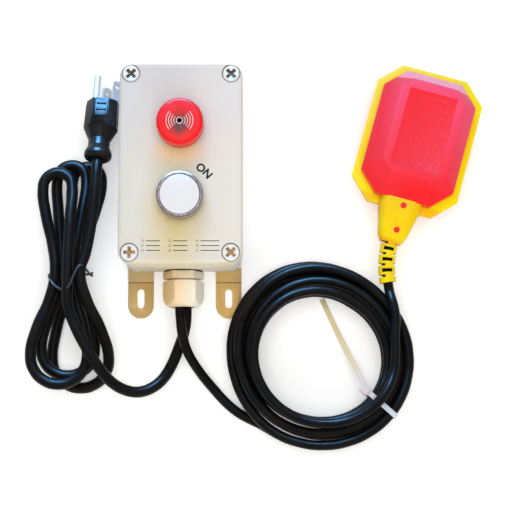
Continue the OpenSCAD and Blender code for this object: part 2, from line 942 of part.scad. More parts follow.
plug_at = [-58.3, 10, 26.2];
plug_axis = [sin(plug_lean) * cos(plug_dip), cos(plug_lean) * cos(plug_dip), -sin(plug_dip)];
hank_start = [
    plug_at, plug_at - cord_d * plug_axis,
    [-59.1, -6, 29.2], [-59.8, -17, 29.6], [-61, -29, 29.6], [-62.8, -42, 29.6], [-65.2, -54.5, 29.9]
];
hank_end = [waist_at(loops) + waist_half, waist_y, level(top_level) + hank_lift];
hank_path = concat(
    hank_start,
    [for (k = [0:loops - 1]) each concat(
        [for (j = [0:lobe_steps - 1]) lower_point(k, j)],
        [for (j = [0:lobe_steps - 1]) upper_point(k, j)]
    )],
    [hank_end, hank_end - [0, cord_d, 0]]
);
power_route = [
    hank_end - [0, cord_d, 0], hank_end - [0, 2 * cord_d, 0],
    [-76.7, -87, 30], [-75.3, -93, 29.6], [-72.9, -99, 29.2],
    [-69, -107.5, 29], [-64.7, -115.4, 28.9], [-61.5, -121, 28.7], [-58.1, -126.5, 28], [-54.2, -132, 26.6],
    [-49.8, -137.4, 24.4], [-44.8, -141.6, 21.8], [-39, -144.6, 19], [-33, -146, 16.6], [-27, -145.5, 14.5],
    [-21, -143, 12.7], [-15.5, -138.8, 11.3], [-11.4, -133.6, 10.5], [-8.2, -127.8, 10.2],
    [-5.6, -122, 10.3], [-3.4, -116.2, 10.8], [-1.2, -110.4, 11.9], [0.4, -104.8, 13.8], [1.4, -99.4, 16.1]
];
power_lead = concat(
    power_route,
    [
        for (d = [gland_len + 3, gland_len, seal_start])
            [cord_in_gland[0], y_end - d, gland_z + cord_in_gland[1]]
    ]
);

module power_cord_lead() {
    color([0.05, 0.05, 0.05])
        tube(power_lead, cord_d, 8);
}

module power_cord_hank() {
    color([0.05, 0.05, 0.05])
        tube(hank_path, cord_d, 6);
}

module hank_outline(grow) {
    top = level(top_level) + hank_lift;
    strands = [
        [waist_at(0) + waist_half, top], [waist_at(1) + waist_half, level(1) + hank_lift],
        [waist_at(0) - waist_half, level(0) + hank_lift], [waist_at(2) - waist_half, level(2) + hank_lift],
        [waist_at(loops) + waist_half, top]
    ];
    hull()
        for (p = strands)
            translate(p)
                circle(r = cord_d / 2 + grow, $fn = HULL_FN);
}

module hank_tie() {
    gap = hank_lift - hank_tie_t;
    color("black")
        translate([0, waist_y + hank_tie_w / 2, 0])
            rotate([90, 0, 0])
                linear_extrude(hank_tie_w)
                    difference() {
                        hank_outline(gap + hank_tie_t);
                        hank_outline(gap);
                    }
}

// ---------- plug ----------

plug_section = [
    [10.5, 4.5], [9.5, 7], [5.5, 11], [4, 11.5], [-2, 11.5], [-10, 5.5], [-11, 4],
    [-11, -4], [-10, -5.5], [-2, -11.5], [4, -11.5], [5.5, -11], [9.5, -7], [10.5, -4.5]
];
blade_x = ground_off / 2;

module at_plug() {
    translate(plug_at)
        rotate([0, 0, -plug_lean])
            rotate([-90 - plug_dip, 0, 0])
                rotate([0, 0, plug_roll])
                    children();
}

module plug_body() {
    shoulder = 22;
    neck = 14;
    neck_r = 7.4;
    color([0.05, 0.05, 0.05])
        at_plug() {
            rotate_extrude()
                polygon([
                    [0, 0], [7.2, 0], [8.8, 1], [9.4, 2.6], [9.3, 4.6], [8.2, 7], [neck_r, 9],
                    [neck_r, neck + 2], [0, neck + 2]
                ]);
            hull() {
                translate([0, 0, neck])
                    cylinder(r = neck_r, h = EPS, $fn = HULL_FN);
                translate([0, 0, shoulder])
                    linear_extrude(EPS)
                        polygon(plug_section);
                translate([0, 0, plug_l - EPS])
                    linear_extrude(EPS)
                        scale(0.95)
                            polygon(plug_section);
            }
        }
}

module plug_blades() {
    tip = 3;
    hole_d = 3;
    color("silver")
        at_plug()
            for (s = [-1, 1])
                translate([blade_x, s * blade_pitch / 2 + blade_t / 2, plug_l])
                    rotate([90, 0, 0])
                        linear_extrude(blade_t)
                            difference() {
                                polygon([
                                    [-blade_w / 2, 0], [blade_w / 2, 0], [blade_w / 2, blade_l - 1.6],
                                    [blade_w / 2 - 1.6, blade_l], [1.6 - blade_w / 2, blade_l],
                                    [-blade_w / 2, blade_l - 1.6]
                                ]);
                                translate([0, blade_l - tip - hole_d / 2])
                                    circle(d = hole_d, $fn = 24);
                            }
}

module plug_ground_pin() {
    nose = ground_d / 2;
    color("silver")
        at_plug()
            translate([-blade_x, 0, plug_l]) {
                cylinder(d = ground_d, h = ground_l - nose);
                translate([0, 0, ground_l - nose])
                    sphere(d = ground_d);
            }
}

// ---------- float cable ----------

coil_at = [93.3, -120.2];
coil_start = 240; // direction of the coil's first point from its centre
coil_steps = 24;
coil_layers = 3; // full layers, under the last part layer
coil_r_out = coil_r_in + coil_pitch * coil_turns;
coil_total = ceil(coil_layers * coil_turns) + (360 - coil_start) / 360; // ends straight to the right
tie_angle = -41; // the tie crosses straight lengths of the strands, between two of their points
tie_gap = 0.3;
tie_slack = 0.4; // the strands slant a little across the tie's width
tie_lift = tie_t + tie_gap;
bump_flat = 12; // degrees each side of the tie over which the strands are fully lifted
bump_reach = 26;
// Radius of the even spiral, which runs in on one layer and out on the next.
function coil_radius(u) =
    let(k = floor(u / coil_turns + EPS / 100), v = u - k * coil_turns)
        k % 2 == 0 ? coil_r_out - coil_pitch * v : coil_r_in + coil_pitch * v;
// The same with the slack of a coil laid down by hand: wider to both sides, and looser at the far side.
coil_far_side = 118; // direction in which the turns are loosest
coil_bulge_side = -20; // direction in which they bulge at the right
coil_tuck_side = 44; // direction in which they pass below the float's boot
function lobe_of(a) = pow(max(0, cos(a)), 2);
function coil_reach(u) =
    let(
        a = coil_start + 360 * u, r = coil_radius(u),
        outward = (r - coil_r_in) / (coil_r_out - coil_r_in),
        spread = coil_spread_near * lobe_of(a + 90) + coil_spread_far * lobe_of(a - coil_far_side)
    )
        r + coil_wide * lobe_of(a - 180) + coil_bulge * lobe_of(a - coil_bulge_side)
            + outward * spread - coil_tuck * lobe_of(a - coil_tuck_side);
function coil_climb(u) = sum([for (k = [1:coil_layers]) ease((u - k * coil_turns + 0.25) / 0.5)]);
// The strands rise over the tie; the last turn passes over its upper side as well.
function tie_bump(a, u) =
    ease((bump_reach - acos(cos(a - tie_angle))) / (bump_reach - bump_flat))
        * tie_lift * (u > coil_layers * coil_turns + 0.3 ? 2 : 1);
function coil_point(u) =
    let(a = coil_start + 360 * u, r = coil_reach(u))
        [
            coil_at[0] + r * cos(a), coil_at[1] + r * sin(a),
            cable_d / 2 + coil_pitch * coil_climb(u) + tie_bump(a, u)
        ];
coil_count = round(coil_total * coil_steps);
coil_loop = [for (i = [0:coil_count]) coil_point(coil_total * i / coil_count)];
coil_first = coil_loop[0] - cable_d * [-sin(coil_start), cos(coil_start), 0];
coil_last = coil_loop[coil_count] + cable_d * [0, 1, 0];
coil_heading = unit(coil_loop[0] - coil_first);
coil_path = concat([coil_first], coil_loop, [coil_last]);

float_route = [
    [-1.6, -98.5, 23.5], [-1, -105, 22], [0.3, -111.5, 20], [2.3, -118, 17.2], [5.6, -124.6, 13.4],
    [9.8, -131, 9.2], [14.6, -137.3, 6], [19.9, -143.5, 4.1], [25.2, -149.5, 3.4], [30.8, -155, 3.3],
    [36.9, -159.7, 3.3], [43.4, -163.4, 3.3]
];
float_lead = concat(
    [
        for (d = [seal_start, gland_len, gland_len + 3])
            [cable_in_gland[0], y_end - d, gland_z + cable_in_gland[1]]
    ],
    float_route, [coil_first - cable_d * coil_heading, coil_first]
);

module float_cable_lead() {
    color([0.05, 0.05, 0.05])
        tube(float_lead, cable_d, 8);
}

module float_cable_coil() {
    color([0.05, 0.05, 0.05])
        tube(coil_path, cable_d, 6);
}

// A short stub of each jacket inside the box, where the wires are stripped.
module cord_jackets() {
    stub = 22;
    color([0.05, 0.05, 0.05])
        at_gland(0)
            for (c = [[cable_d, cable_in_gland], [cord_d, cord_in_gland]])
                translate([c[1][0], c[1][1], seal_start - EPS - stub])
                    cylinder(d = c[0], h = stub);
}

module coil_outline(grow) {
    first = (360 + tie_angle - coil_start) / 360;
    flat = cos(180 / coil_steps); // the strands run straight from point to point
    r_low = coil_reach(first + floor(coil_turns)) * flat - tie_slack;
    r_high = coil_reach(first) * flat + tie_slack;
    hull()
        for (r = [r_low, r_high], layer = [0, coil_layers - 1])
            translate([r, cable_d / 2 + coil_pitch * layer + tie_lift])
                circle(r = cable_d / 2 + grow, $fn = HULL_FN);
}

tie_head = 5.4;
tie_head_z = 13;
tie_tail_t = 1;
// radius at which the head meets the coil
tie_r = coil_r_in - cable_d / 2 + coil_bulge * lobe_of(tie_angle - coil_bulge_side);
tie_root = coil_at + (tie_r - tie_head / 2) * [cos(tie_angle), sin(tie_angle)];
tie_tail = [
    [tie_root[0], tie_root[1], tie_head_z + tie_head / 2], [121.2, -140, 14.2],
    [117.6, -132.8, 11.6], [112.6, -122.8, 7.8], [107.6, -112.4, 4.6],
    [102.8, -102.2, 2.3], [98.2, -92.2, 1.1], [93.8, -82.4, 0.8]
];

module coil_tie() {
    color("ivory") {
        translate([coil_at[0], coil_at[1], 0])
            rotate([0, 0, tie_angle]) {
                rotate([90, 0, 0])
                    translate([0, 0, -tie_w / 2])
                        linear_extrude(tie_w)
                            difference() {
                                coil_outline(tie_gap / 2 + tie_t);
                                coil_outline(tie_gap / 2);
                            }
                translate([tie_r - tie_head, -tie_head / 2, tie_head_z])
                    cube([tie_head, tie_head, tie_head * 0.9]);
            }
        sweep(tie_tail, [
            [-tie_w / 2, -tie_tail_t / 2], [tie_w / 2, -tie_tail_t / 2],
            [tie_w / 2, tie_tail_t / 2], [-tie_w / 2, tie_tail_t / 2]
        ]);
    }
}

// ---------- float switch ----------

float_at = [158, 23.1, flange_t / 2 + cover_h];
neck_end = -flange_l / 2 - neck_l;
boot_start = neck_end;

module in_float() {
    translate(float_at)
        rotate([0, 0, -float_turn])
            children();
}

function float_place(p) =
    float_at + [
        p[0] * cos(float_turn) + p[1] * sin(float_turn),
        -p[0] * sin(float_turn) + p[1] * cos(float_turn), p[2]
    ];

module octagon(w, l, cut) {
    polygon([
        [w / 2, l / 2 - cut], [w / 2 - cut, l / 2], [cut - w / 2, l / 2], [-w / 2, l / 2 - cut],
        [-w / 2, cut - l / 2], [cut - w / 2, -l / 2], [w / 2 - cut, -l / 2], [w / 2, cut - l / 2]
    ]);
}

// The outer form of a cover, or its hollow when shrunk by the wall.
bevel_left = 11.4;
bevel_right = 7.8;
bevel_far = 7;
bevel_near = 14.5;
panel_in = 5.8; // from the edge of the flat face to the sunk panel
bevel_h = 9.5;
cover_cut = 13;

panel_at = [(bevel_left - bevel_right) / 2, (bevel_near - bevel_far) / 2]; // middle of the flat face
panel_w = cover_w - bevel_left - bevel_right - 2 * panel_in;
panel_l = cover_l - bevel_far - bevel_near - 2 * panel_in;

module cover_form(shrink) {
    w = cover_w - 2 * shrink;
    l = cover_l - 2 * shrink;
    top_l = l - bevel_far - bevel_near;
    top_w = w - bevel_left - bevel_right;
    cut = cover_cut - shrink * 0.6;
    hull() {
        translate([0, 0, -EPS])
            linear_extrude(cover_h - bevel_h)
                octagon(w, l, cut);
        translate([panel_at[0], panel_at[1], cover_h - shrink - EPS])
            linear_extrude(EPS)
                octagon(top_w, top_l, cut * 0.62);
    }
}

module neck_form(grow) {
    thick = 24;
    end_w = 19;
    end_thick = 15;
    root = -flange_l / 2 + 9;
    hull() {
        for (x = [-1, 1], z = [-1, 1])
            translate([x * (neck_w / 2 - 6), root, z * (thick / 2 - 6)])
                rotate([90, 0, 0])
                    cylinder(r = 6 + grow, h = 9, $fn = HULL_FN);
        for (x = [-1, 1], z = [-1, 1])
            translate([x * (end_w / 2 - 5), neck_end + 4, z * (end_thick / 2 - 5)])
                rotate([90, 0, 0])
                    cylinder(r1 = 5 + grow, r2 = 2.5 + grow, h = 4, $fn = HULL_FN);
    }
}

cable_bore = cable_d + 2 * cord_fit;
pin_d = 4;
pin_side = 1.7;
pin_places = [-46.8, -63.3];
pin_root = cable_bore / 2 + 1.2; // the pins stop short of the cable
tray_t = 2;
tray_z = -flange_t / 2;
well_w = cover_w - 2 * cover_wall - 4;
well_l = cover_l - 2 * cover_wall - 4;

module float_frame() {
    color("gold")
        in_float()
            difference() {
                union() {
                    translate([0, 0, -flange_t / 2])
                        linear_extrude(flange_t)
                            octagon(flange_w, flange_l, flange_cut);
                    neck_form(0);
                }
                translate([0, 2, tray_z + tray_t])
                    linear_extrude(flange_t)
                        octagon(well_w, well_l - 6, cover_cut);
                translate([0, neck_end - PASS, 0])
                    rotate([-90, 0, 0])
                        cylinder(d = cable_bore, h = neck_l + 18);
                at_pins(pin_root)
                    cylinder(d = pin_d + 2 * fit, h = cover_h);
            }
}

// Both faces of the neck carry the same pins.
module at_pins(z) {
    for (y = pin_places, face_z = [z, -z - cover_h])
        translate([pin_side, y, face_z])
            children();
}

module cover() {
    recess = 1;
    translate([0, 0, flange_t / 2])
        difference() {
            cover_form(0);
            translate([0, 0, -PASS])
                linear_extrude(PASS)
                    square([2 * cover_w, 2 * cover_l], center = true);
            intersection() {
                cover_form(cover_wall);
                translate([-cover_w, -cover_l, -PASS])
                    cube([2 * cover_w, 2 * cover_l, 2 * cover_h]);
            }
            translate([panel_at[0], panel_at[1], cover_h - recess])
                linear_extrude(recess + PASS)
                    square([panel_w, panel_l], center = true);
            translate([0, 0, -flange_t / 2])
                neck_form(slide_fit);
        }
}

module float_cover_upper() {
    color("crimson")
        in_float()
            cover();
}

module float_cover_lower() {
    color("crimson")
        in_float()
            mirror([0, 0, 1])
                cover();
}

module float_pins() {
    color("crimson")
        in_float()
            intersection() {
                neck_form(0);
                at_pins(pin_root + fit)
                    cylinder(d = pin_d, h = cover_h);
            }
}

boot_gaps = 7;

// The gap between two rings, less the webs that bridge it: at the sides, or at front and back.
module boot_gap_section(webs_at_sides) {
    web = 2.2;
    difference() {
        square([2 * boot_d, 2 * boot_d], center = true);
        if (webs_at_sides)
            for (x = [-1, 1])
                translate([x * (boot_d / 2 - web / 2), 0])
                    square([web, 2 * boot_d + PASS], center = true);
        else
            translate([-1.1, 0])
                square([boot_d * 0.43, 2 * boot_d + PASS], center = true);
    }
}

module boot_bend_of(from, span) {
    rotate([0, 0, 180 + from])
        rotate_extrude(angle = span)
            translate([boot_bend, 0])
                children();
}

module at_boot() {
    in_float()
        translate([boot_bend, boot_start, 0])
            children();
}

module cable_boot() {
    collar = 3.6;
    last = boot_sweep - collar * 180 / (PI * boot_bend);
    wide_gaps = (boot_gaps - 1) / 2;
    tall = 1.5; // wide gaps against narrow gaps and rings
    step = last / (2 * boot_gaps - 1 + wide_gaps * (tall - 1));
    over = 1; // degrees that the bore runs past each end
    color("gold")
        at_boot()
            difference() {
                boot_bend_of(0, boot_sweep)
                    circle(d = boot_d);
                boot_bend_of(-over, boot_sweep + 2 * over)
                    circle(d = cable_bore);
                for (i = [0:boot_gaps - 1]) {
                    from = 2 * i * step + floor(i / 2) * (tall - 1) * step;
                    span = i % 2 == 1 ? tall * step : step;
                    boot_bend_of(from + (i == 0 ? -over : 0), span + (i == 0 ? over : 0))
                        boot_gap_section(i % 2 == 1);
                }
            }
}

boot_mouth = float_place([
    boot_bend * (1 - cos(boot_sweep)), boot_start - boot_bend * sin(boot_sweep), 0
]);
mouth_axis = [sin(boot_sweep - float_turn), -cos(boot_sweep - float_turn), 0];

module boot_cable() {
    inside = neck_l + 12;
    color([0.05, 0.05, 0.05]) {
        at_boot()
            boot_bend_of(0, boot_sweep)
                circle(d = cable_d);
        in_float()
            translate([0, boot_start, 0])
                rotate([-90, 0, 0])
                    cylinder(d = cable_d, h = inside);
    }
}

tail_path = [
    coil_last, coil_last + [0, cable_d, 0], [142.3, -101, 24.7], [141.6, -95, 24.9], [140.6, -89, 24.8],
    [139.4, -84, 23.7], boot_mouth + cable_d * mouth_axis, boot_mouth
];

module float_cable_tail() {
    color([0.05, 0.05, 0.05])
        tube(tail_path, cable_d, 8);
}

// The ball's track, low at the switch end while the float lies flat.
track_bore = ball_d + 2 * slide_fit;
track_wall = 1;
track_d = track_bore + 2 * track_wall;
tray_top = tray_z + tray_t;
ball_y = -10;
ball_z = tray_top + track_d / 2 + 0.4;
track_l = ball_travel + ball_d + 1;

module on_track() {
    in_float()
        translate([0, ball_y, ball_z])
            rotate([track_slope, 0, 0])
                children();
}

module ball_track() {
    stop = 0.8;
    color("white")
        difference() {
            union() {
                on_track()
                    rotate([-90, 0, 0])
                        translate([0, 0, -ball_d / 2 + 1.6])
                            difference() {
                                cylinder(d = track_d, h = track_l);
                                translate([0, 0, -PASS])
                                    cylinder(d = track_bore, h = track_l + PASS - stop);
                            }
                in_float()
                    for (y = [2, 22])
                        translate([-track_d / 3, y, tray_top])
                            cube([track_d * 2 / 3, 3, track_d * 0.4]);
            }
            on_track()
                rotate([-90, 0, 0])
                    translate([0, 0, -ball_d / 2])
                        cylinder(d = track_bore, h = track_l + 1.6 - stop);
        }
}

module switch_ball() {
    color("silver")
        on_track()
            sphere(d = ball_d);
}

lever_t = 0.4;
lever_y = ball_y - ball_d / 2 - lever_t / 2 - slide_fit; // the lever's middle plane
lever_h = 12;
lever_w = 5;
hinge_d = 1.4;
switch_l = 9;
switch_w = 20;
switch_h = 10;

module microswitch() {
    ear = 3.2;
    color("black")
        in_float()
            translate([0, lever_y - 1.8, tray_top]) {
                translate([-switch_w / 2, -switch_l, 0])
                    cube([switch_w, switch_l, switch_h]);
                for (x = [-1, 1])
                    translate([x * (lever_w / 2 + slide_fit + 1) - 1, -EPS, 0])
                        difference() {
                            cube([2, ear + EPS, ear + 0.6]);
                            translate([-PASS, 1.8, hinge_d / 2 + 0.5])
                                rotate([0, 90, 0])
                                    cylinder(d = hinge_d + 0.1, h = 2 + 2 * PASS, $fn = 24);
                        }
            }
}

module switch_lever() {
    pin_l = lever_w + 2 * slide_fit + 3;
    color("silver")
        in_float()
            translate([0, lever_y, tray_top + hinge_d / 2 + 0.5]) {
                rotate([0, 90, 0])
                    translate([0, 0, -pin_l / 2])
                        cylinder(d = hinge_d, h = pin_l, $fn = 24);
                translate([-lever_w / 2, -lever_t / 2, 0])
                    cube([lever_w, lever_t, lever_h]);
            }
}

// ---------- least gaps of the wound tubes, printed for whoever changes a size ----------

echo(hank_gap = least_gap(hank_path, 4, cord_d));
echo(coil_gap = least_gap(coil_path, 8, cable_d));
echo(power_cord_length = path_length(power_lead) + path_length(hank_path));
echo(float_cable_length = path_length(float_lead) + path_length(coil_path) + path_length(tail_path));

enclosure_base();
enclosure_lid();
lid_gasket();
lid_screws();
beacon_cap();
beacon_body();
beacon_board();
beacon_sounder();
panel_seal(beacon_y, cap_d - 1);  // beacon_gasket
panel_nut(beacon_y);  // beacon_nut
button_bezel();
button_lens();
button_plunger();
button_spring();
button_body();
panel_seal(button_y, bezel_d - 1);  // button_gasket
panel_nut(button_y);  // button_nut
contact_block();
terminal_block();
terminal_screws();
gland_body();
gland_washer();
gland_seal();
gland_nut();
gland_locknut();
lug_left();
lug_right();
lug_screws();
cord_jackets();
power_cord_lead();
power_cord_hank();
hank_tie();
plug_body();
plug_blades();
plug_ground_pin();
float_cable_lead();
float_cable_coil();
float_cable_tail();
coil_tie();
float_frame();
float_cover_upper();
float_cover_lower();
float_pins();
cable_boot();
boot_cable();
ball_track();
switch_ball();
microswitch();
switch_lever();
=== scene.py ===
"""Sump pit level alarm with float switch: the pieces and finishes that dress its CAD frame."""

import math

import bpy
from bpy.props import FloatProperty, FloatVectorProperty, PointerProperty
from mathutils import Matrix, Vector


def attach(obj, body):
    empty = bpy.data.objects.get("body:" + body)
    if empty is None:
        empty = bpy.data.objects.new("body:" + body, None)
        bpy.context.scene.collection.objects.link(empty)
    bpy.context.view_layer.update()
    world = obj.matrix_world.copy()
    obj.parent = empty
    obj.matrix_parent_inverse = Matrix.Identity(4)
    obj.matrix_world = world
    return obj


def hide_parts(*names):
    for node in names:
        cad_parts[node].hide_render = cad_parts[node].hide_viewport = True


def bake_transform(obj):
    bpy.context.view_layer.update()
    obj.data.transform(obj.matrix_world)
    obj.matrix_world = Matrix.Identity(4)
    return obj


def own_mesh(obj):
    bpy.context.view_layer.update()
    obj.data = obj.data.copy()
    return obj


bl_info = {
    "name": "Level Alarm Dresser",
    "version": (1, 0, 0),
    "blender": (4, 5, 0),
    "location": "View3D > Sidebar > Level Alarm",
    "description": "Builds the cords, ties, mouldings, print and finishes of a sump pit level alarm",
    "category": "Object",
}

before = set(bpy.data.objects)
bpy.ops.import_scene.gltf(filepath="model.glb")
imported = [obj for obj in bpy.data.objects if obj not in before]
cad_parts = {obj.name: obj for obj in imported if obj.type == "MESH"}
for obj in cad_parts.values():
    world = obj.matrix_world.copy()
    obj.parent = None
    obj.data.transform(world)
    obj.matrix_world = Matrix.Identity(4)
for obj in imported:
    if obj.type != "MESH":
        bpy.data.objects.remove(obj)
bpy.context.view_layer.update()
MM = 0.001

# the cords' diameters in millimetres
CORD_D = 7.6
CABLE_D = 6.6

HOUSING = "housing"
BUTTON = "button"
FLOAT = "float"


# ---------------------------------------------------------------- settings


def length_setting(name, description, millimetres):
    return FloatProperty(name=name, description=description, default=millimetres * MM, unit="LENGTH")


def colour_setting(name, description, value):
    return FloatVectorProperty(
        name=name, description=description, subtype="COLOR", default=value, min=0, max=1
    )


class LevelAlarmSizes(bpy.types.PropertyGroup):
    """Sizes of the pieces that are made here."""

    power_cord_diameter: length_setting("Power cord", "Diameter of the power cord", CORD_D)
    float_cable_diameter: length_setting("Float cable", "Diameter of the float cable", CABLE_D)
    coil_pitch: length_setting("Coil pitch", "Step from turn to turn of the coil", 7.15)
    screw_head: length_setting("Screw heads", "Diameter of the lid's screw heads", 11.2)
    edge_round: length_setting("Moulded edges", "Rounding of moulded edges", 0.5)
    print_height: length_setting("Print", "Thickness of the printed marks", 0.05)
    mark_height: length_setting("Letter height", "Height of the word beside the button", 4.2)


class LevelAlarmColours(bpy.types.PropertyGroup):
    """Colours of the finishes."""

    shell_cool: colour_setting("Box, far end", "Colour of the box away from the gland", (0.67, 0.68, 0.69))
    # the next colour is painted warm light on the box beside the gland and below the cap
    shell_warm_light: colour_setting("Box, near end", "Colour of the box beside the gland", (0.72, 0.60, 0.31))
    alarm_red: colour_setting("Sounder cap", "Colour of the sounder's cap", (0.92, 0.012, 0.014))
    float_red: colour_setting("Float covers", "Colour of the float's covers", (0.94, 0.016, 0.022))
    float_yellow: colour_setting("Float frame", "Colour of the float's frame and boot", (0.94, 0.66, 0.0))
    cord_black: colour_setting("Cords", "Colour of the cords and the plug", (0.003, 0.003, 0.003))
    lug_metal: colour_setting("Lugs", "Colour of the lugs' plating", (0.71, 0.46, 0.145))
    nylon: colour_setting("Nylon tie", "Colour of the nylon tie", (0.86, 0.72, 0.42))


def sizes():
    return bpy.context.scene.level_alarm_sizes


def colours():
    return bpy.context.scene.level_alarm_colours


# ---------------------------------------------------------------- finishes


def rgba(colour):
    return (colour[0], colour[1], colour[2], 1.0)


class Finish:
    """A material under construction, whose patterns read Object coordinates."""

    def __init__(self, name, colour, roughness, **sockets):
        self.material = bpy.data.materials.new(name)
        self.material.use_nodes = True
        self.tree = self.material.node_tree
        self.shader = self.tree.nodes["Principled BSDF"]
        self.shader.inputs["Base Color"].default_value = rgba(colour)
        self.shader.inputs["Roughness"].default_value = roughness
        for socket, value in sockets.items():
            self.shader.inputs[socket.replace("_", " ")].default_value = value
        self.coordinates = self.add("TexCoord").outputs["Object"]
        self.normal = None

    def add(self, kind, inputs=None, **settings):
        """A node with its settings, and with its inputs linked or set."""
        node = self.tree.nodes.new("ShaderNode" + kind)
        for key, value in settings.items():
            setattr(node, key, value)
        for key, value in (inputs or {}).items():
            self.put(value, node.inputs[key])
        return node

    def link(self, source, target):
        self.tree.links.new(source, target)

    def put(self, value, socket):
        """Links a value that comes from a node, and sets any other."""
        if isinstance(value, bpy.types.NodeSocket):
            self.link(value, socket)
        else:
            socket.default_value = value

    def mapped(self, location=(0, 0, 0), scale=(1, 1, 1), turn=0, source=None):
        """The coordinates scaled, turned about Z and moved, in this order."""
        source = self.coordinates if source is None else source
        return self.add("Mapping", {
            "Location": location, "Rotation": (0, 0, turn), "Scale": scale, "Vector": source,
        }).outputs["Vector"]

    def axis(self, name, source=None):
        source = self.coordinates if source is None else source
        return self.add("SeparateXYZ", {"Vector": source}).outputs[name]

    def math(self, operation, *values, kind="Math", output="Value", **settings):
        node = self.add(kind, dict(enumerate(values)), operation=operation, **settings)
        return node.outputs[output]

    def noise(self, scale, detail=2.0, stretch=(1, 1, 1), source=None, distortion=0.0):
        """A noise pattern; scale is in cycles per metre."""
        return self.add("TexNoise", {
            "Scale": scale, "Detail": detail, "Distortion": distortion,
            "Vector": self.mapped(scale=stretch, source=source),
        }).outputs["Fac"]

    def ramp(self, factor, stops):
        node = self.add("ValToRGB", {"Fac": factor})
        elements = node.color_ramp.elements
        while len(elements) < len(stops):
            elements.new(0.5)
        for element, (position, colour) in zip(elements, stops):
            element.position = position
            element.color = rgba(colour)
        return node.outputs["Color"]

    def spread(self, factor, low, high, start=0.3, stop=0.7):
        """Goes from low to high while the factor goes from start to stop."""
        return self.add("MapRange", {
            "From Min": start, "From Max": stop, "To Min": low, "To Max": high, "Value": factor,
        }).outputs["Result"]

    def band(self, name, edge, low=0, high=1, source=None):
        """Goes from low to high across an edge on one axis."""
        return self.spread(self.axis(name, source), low, high, *edge)

    def blend(self, factor, first, second):
        node = self.add("Mix", {"Factor": factor}, data_type="RGBA")
        for value, socket in ((first, node.inputs["A"]), (second, node.inputs["B"])):
            self.put(value if isinstance(value, bpy.types.NodeSocket) else rgba(value), socket)
        return node.outputs["Result"]

    def off(self, value, middle):
        """How far a value is from a middle one."""
        return self.math("ABSOLUTE", self.math("SUBTRACT", value, middle))

    def away(self, middle, reach):
        """Distance from a point in plan, which is 1 on the upright ellipse of this reach."""
        scale = (1 / reach[0], 1 / reach[1], 0)
        location = (-middle[0] * scale[0], -middle[1] * scale[1], 0)
        return self.math("LENGTH", self.mapped(location, scale), kind="VectorMath")

    def paint(self, colour):
        self.link(colour, self.shader.inputs["Base Color"])

    def sheen_map(self, factor, low, high):
        self.link(self.spread(factor, low, high), self.shader.inputs["Roughness"])

    def bump(self, factor, strength, depth):
        """A relief whose depth is in millimetres, on top of any earlier one."""
        node = self.add("Bump", {"Strength": strength, "Distance": depth * MM, "Height": factor})
        if self.normal is not None:
            self.link(self.normal, node.inputs["Normal"])
        self.normal = node.outputs["Normal"]
        self.link(self.normal, self.shader.inputs["Normal"])

    def texture(self, sheen, roughness, grain, relief):
        """Uneven gloss and a fine grain: each noise's own values, then what it drives."""
        self.sheen_map(self.noise(*sheen), *roughness)
        self.bump(self.noise(*grain), *relief)


def scaled(colour, *shares):
    """A colour with each channel times its share, or all times the one share."""
    return tuple(channel * share for channel, share in zip(colour[:3], shares * (3 // len(shares))))


def moulded(name, colour, roughness, grain=2600, depth=0.02, tone=0.93, **sockets):
    """Moulded plastic: faint tone drift, fine grain, uneven gloss."""
    finish = Finish(name, colour, roughness, **sockets)
    drift = finish.spread(finish.noise(28, 3), 0, 1, 0.35, 0.65)
    finish.paint(finish.blend(drift, scaled(colour, tone), colour))
    finish.texture((90, 4), (roughness * 0.88, roughness * 1.14), (grain, 2), (0.35, depth))
    return finish


# where the colours change on the pieces, in metres
# painted warm light: a warm pool on the lid, and a band along the end beside the gland
WARM_LIGHT_AT, WARM_LIGHT_REACH = (-0.00357, -0.034), (1 / 56, 0.05)
WARM_LIGHT_END = (-0.035, -0.066)
LID_SIDES = (-0.042, 0.042)
LOW_PART = (-0.002, 0.034)
NEAR_WALL = (-0.0649, -0.0643)
CAP_GLOW_AT, CAP_GLOW_REACH = (-0.001, 0.0075), (0.018, 0.0095)
SLOT_FLOOR = (0.06875, 0.06925)
HEXAGON_EDGE = (-0.0721, -0.0717)
SOUND_HOLE_AT, SOUND_HOLE_REACH = (0, 0.02227), (1, 4 / 3)
SOUND_HOLE_EDGE = (0.005, 0.0105)
LUG_FOLD = -0.0710
LUG_FOLD_EDGE = (-0.0712, -0.0704)
FRAME_START, FRAME_END = -0.080, -0.040
COVER_LEFT = (-0.0275, -0.0195)
COVER_LENGTH = (-0.036, 0.04)
COVER_BRIM = (0.0362, 0.0372)
STRAP = (-0.152, -0.147)
STRAP_END = (-0.142, -0.124)


def screw_seat_shade(shell):
    """A mask of painted shade round the four screw heads, in their seats."""
    low, high = bounds("lid_screws")
    middle = (low + high) / 2
    radius = sizes().screw_head / 2
    centred = shell.mapped((-middle.x, -middle.y, 0), (1, 1, 0))
    folded = shell.math("ABSOLUTE", centred, kind="VectorMath", output="Vector")
    corner = high - middle
    seat = shell.math("DISTANCE", folded, (corner.x - radius, corner.y - radius, 0), kind="VectorMath")
    ring = shell.spread(seat, 0.85, 0, radius + 0.3 * MM, radius + 0.65 * MM)
    top = shell.band("Z", (high.z - 3 * MM, high.z - 2.6 * MM))
    return shell.math("MULTIPLY", ring, top)


